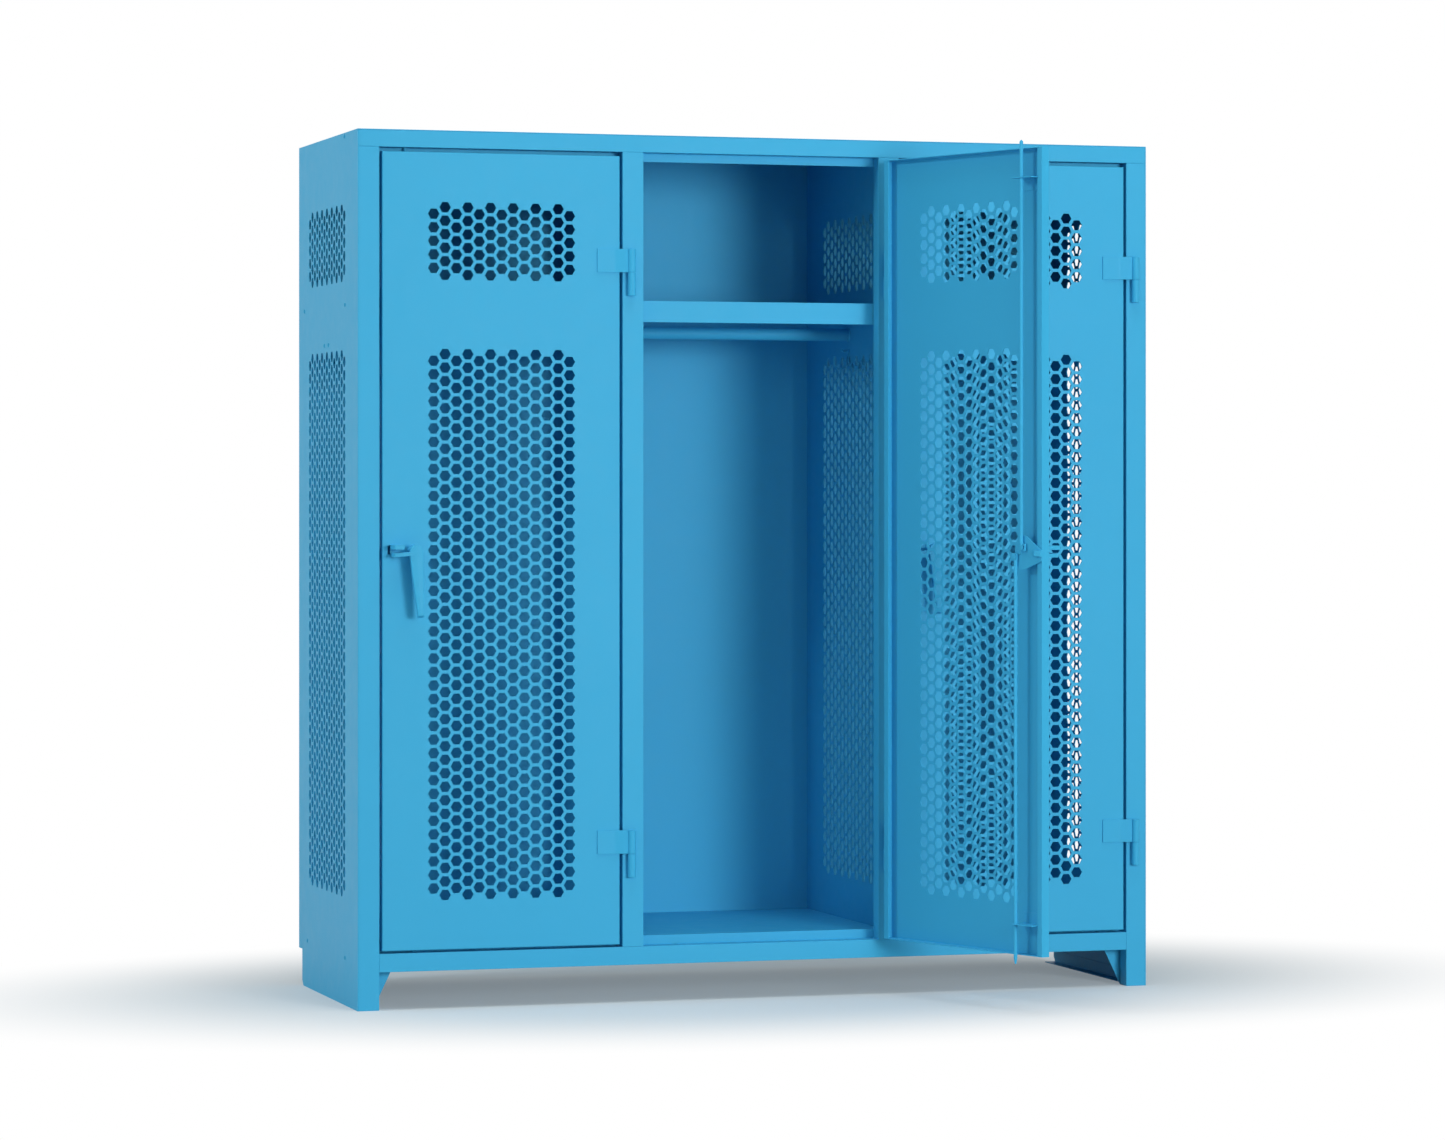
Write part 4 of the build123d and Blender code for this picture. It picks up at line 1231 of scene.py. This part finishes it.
class LOCKER_OT_stage(bpy.types.Operator):
    """Make the floor, the white surround, the lamps and the camera"""
    bl_idname = "locker.stage"
    bl_label = "Stage"

    def execute(self, context):
        scene = context.scene
        scene.view_settings.view_transform = "Standard"

        work = bmesh.new()
        corners = rectangle((-FLOOR_REACH, -FLOOR_REACH), (FLOOR_REACH, FLOOR_REACH))
        work.faces.new([work.verts.new((x, y, 0)) for x, y in corners])
        mesh = bpy.data.meshes.new("floor")
        work.to_mesh(mesh)
        work.free()
        floor = bpy.data.objects.new("floor", mesh)
        scene.collection.objects.link(floor)
        mesh.materials.append(floor_finish(scene.locker_colours.floor_lift))

        world = bpy.data.worlds.new("Studio surround")
        scene.world = world
        world.use_nodes = True
        tree = world.node_tree
        tree.nodes.clear()
        lit = add_node(
            tree, "ShaderNodeBackground", {"Color": linear(WORLD_LIGHT), "Strength": WORLD_STRENGTH}
        )
        white = add_node(tree, "ShaderNodeBackground", {"Color": WHITE, "Strength": 1.0})
        mixed = add_node(tree, "ShaderNodeMixShader", {0: seen_directly(tree), 1: lit, 2: white})
        add_node(tree, "ShaderNodeOutputWorld", {"Surface": mixed})

        for name, place, aim, size, power in LAMPS:
            lamp = bpy.data.lights.new(name, "AREA")
            lamp.shape = "DISK"
            lamp.size = size
            lamp.energy = power
            holder = bpy.data.objects.new(name, lamp)
            scene.collection.objects.link(holder)
            holder.location = place
            holder.rotation_euler = (Vector(aim) - Vector(place)).to_track_quat("-Z", "Y").to_euler()

        lens = bpy.data.cameras.new("camera")
        lens.sensor_fit = "HORIZONTAL"
        lens.sensor_width = SENSOR_WIDTH
        lens.lens = SENSOR_WIDTH * FOCAL_PIXELS / FRAME_WIDTH
        lens.shift_y = SHIFT_PIXELS / FRAME_WIDTH
        lens.clip_end = 100.0
        camera = bpy.data.objects.new("camera", lens)
        scene.collection.objects.link(camera)
        camera.location = CAMERA_PLACE
        camera.rotation_euler = (math.pi / 2, 0, CAMERA_TURN)
        scene.camera = camera
        return {"FINISHED"}


class LockerSizes(bpy.types.PropertyGroup):
    sheet: bpy.props.FloatProperty(
        name="Sheet", description="Thickness of the vented sheets", default=2.0 * MM, unit="LENGTH",
    )
    edge_round: bpy.props.FloatProperty(
        name="Edge rounding", description="Rounding on cut and folded edges",
        default=0.5 * MM, unit="LENGTH",
    )
    seam_round: bpy.props.FloatProperty(
        name="Seam rounding", description="Rounding on post and beam edges, a fine line where two meet",
        default=0.9 * MM, unit="LENGTH",
    )
    vent_pitch: bpy.props.FloatProperty(
        name="Vent pitch", description="Distance between vents in a column",
        default=29.33 * MM, unit="LENGTH",
    )
    vent_column_spacing: bpy.props.FloatProperty(
        name="Column spacing", description="Distance between columns of vents",
        default=25.4 * MM, unit="LENGTH",
    )
    vent_width: bpy.props.FloatProperty(
        name="Vent width", description="Width of a vent across its flats", default=22.2 * MM, unit="LENGTH",
    )
    vent_rim: bpy.props.FloatProperty(
        name="Vent rim", description="Softened rim at each face of a vent",
        default=0.35 * MM, unit="LENGTH",
    )
    door_columns: bpy.props.IntProperty(
        name="Door columns", description="Columns of vents in a door", default=13,
    )
    side_columns: bpy.props.IntProperty(
        name="Side columns", description="Columns of vents in a side or divider", default=15,
    )
    upper_rows: bpy.props.IntProperty(
        name="Upper rows", description="Vents in a long column of the upper field", default=6,
    )
    lower_rows: bpy.props.IntProperty(
        name="Lower rows", description="Vents in a long column of the lower field", default=41,
    )
    upper_vent_middle: bpy.props.FloatProperty(
        name="Upper field", description="Middle height of the upper field",
        default=1665.0 * MM, unit="LENGTH",
    )
    lower_vent_middle: bpy.props.FloatProperty(
        name="Lower field", description="Middle height of the lower field",
        default=833.0 * MM, unit="LENGTH",
    )
    side_vent_middle: bpy.props.FloatProperty(
        name="Left side field", description="Middle of the left side's vents, from the front",
        default=313.0 * MM, unit="LENGTH",
    )
    right_vent_middle: bpy.props.FloatProperty(
        name="Right side field", description="Middle of the right side's vents, from the front",
        default=300.3 * MM, unit="LENGTH",
    )
    divider_vent_middle: bpy.props.FloatProperty(
        name="Divider field", description="Middle of a divider's vents, from the front",
        default=298.0 * MM, unit="LENGTH",
    )
    door_bend: bpy.props.FloatProperty(
        name="Door bend", description="Outer radius of the fold round a door",
        default=2.4 * MM, unit="LENGTH",
    )
    door_lip: bpy.props.FloatProperty(
        name="Door lip", description="Width of the lip down each side of a door",
        default=15.0 * MM, unit="LENGTH",
    )
    notch_depth: bpy.props.FloatProperty(
        name="Notch depth", description="Rear notch of a side, front to back",
        default=35.0 * MM, unit="LENGTH",
    )
    notch_height: bpy.props.FloatProperty(
        name="Notch height", description="Rear notch of a side, from the floor",
        default=82.5 * MM, unit="LENGTH",
    )
    notch_corner: bpy.props.FloatProperty(
        name="Notch corner", description="Cut corner at the foot of the notch",
        default=12.0 * MM, unit="LENGTH",
    )
    rivet_radius: bpy.props.FloatProperty(
        name="Rivet radius", description="Radius of a rivet head", default=4.6 * MM, unit="LENGTH",
    )
    rivet_height: bpy.props.FloatProperty(
        name="Rivet height", description="How far a rivet head stands out", default=2.4 * MM, unit="LENGTH",
    )
    latch_slot_from_hub: bpy.props.FloatProperty(
        name="Latch slot place", description="Slot in the door beside the lug, from the handle's axis",
        default=51.6 * MM, unit="LENGTH",
    )
    latch_slot_rise: bpy.props.FloatProperty(
        name="Latch slot rise", description="Middle of the slot above the handle's axis",
        default=3.5 * MM, unit="LENGTH",
    )
    latch_slot_width: bpy.props.FloatProperty(
        name="Latch slot width", description="Width of the slot", default=5.8 * MM, unit="LENGTH",
    )
    latch_slot_height: bpy.props.FloatProperty(
        name="Latch slot height", description="Height of the slot", default=19.0 * MM, unit="LENGTH",
    )


class LockerColours(bpy.types.PropertyGroup):
    coat: bpy.props.FloatVectorProperty(
        name="Coat", description="Colour of the powder coat",
        default=linear("#40B1DD")[:3], subtype="COLOR", min=0, max=1,
    )
    coat_deep: bpy.props.FloatVectorProperty(
        name="Coat, thick", description="Colour where the coat is thickest",
        default=linear("#3CADDA")[:3], subtype="COLOR", min=0, max=1,
    )
    coat_roughness: bpy.props.FloatProperty(
        name="Coat roughness", description="Satin of the powder coat",
        default=0.46, subtype="FACTOR", min=0, max=1,
    )
    coat_reflection: bpy.props.FloatProperty(
        name="Coat reflection", description="Strength of the coat's sheen",
        default=0.1, subtype="FACTOR", min=0, max=1,
    )
    floor_lift: bpy.props.FloatProperty(
        name="Floor lift", description="Paleness of the floor's shadow", default=0.21, min=0, max=1,
    )


OPERATORS = (
    LOCKER_OT_case, LOCKER_OT_doors, LOCKER_OT_sides, LOCKER_OT_handles, LOCKER_OT_rods, LOCKER_OT_hinges,
    LOCKER_OT_inside, LOCKER_OT_rivets, LOCKER_OT_stage,
)


class LOCKER_PT_panel(bpy.types.Panel):
    """Lists the locker's pieces and sizes in the sidebar"""
    bl_idname = "LOCKER_PT_panel"
    bl_label = "Locker"
    bl_space_type = "VIEW_3D"
    bl_region_type = "UI"
    bl_category = "Locker"

    def draw(self, context):
        for group in (context.scene.locker_sizes, context.scene.locker_colours):
            column = self.layout.column()
            for name in group.__annotations__:
                column.prop(group, name)
        for operator in OPERATORS:
            self.layout.operator(operator.bl_idname)


CLASSES = (LockerSizes, LockerColours, *OPERATORS, LOCKER_PT_panel)


def register():
    for kind in CLASSES:
        bpy.utils.register_class(kind)
    bpy.types.Scene.locker_sizes = bpy.props.PointerProperty(type=LockerSizes)
    bpy.types.Scene.locker_colours = bpy.props.PointerProperty(type=LockerColours)


def unregister():
    del bpy.types.Scene.locker_colours
    del bpy.types.Scene.locker_sizes
    for kind in reversed(CLASSES):
        bpy.utils.unregister_class(kind)


def main():
    register()
    bpy.ops.locker.case()
    bpy.ops.locker.doors()
    bpy.ops.locker.sides()
    bpy.ops.locker.handles()
    bpy.ops.locker.rods()
    bpy.ops.locker.hinges()
    bpy.ops.locker.inside()
    bpy.ops.locker.rivets()
    bpy.ops.locker.stage()


if __name__ == "__main__":
    main()
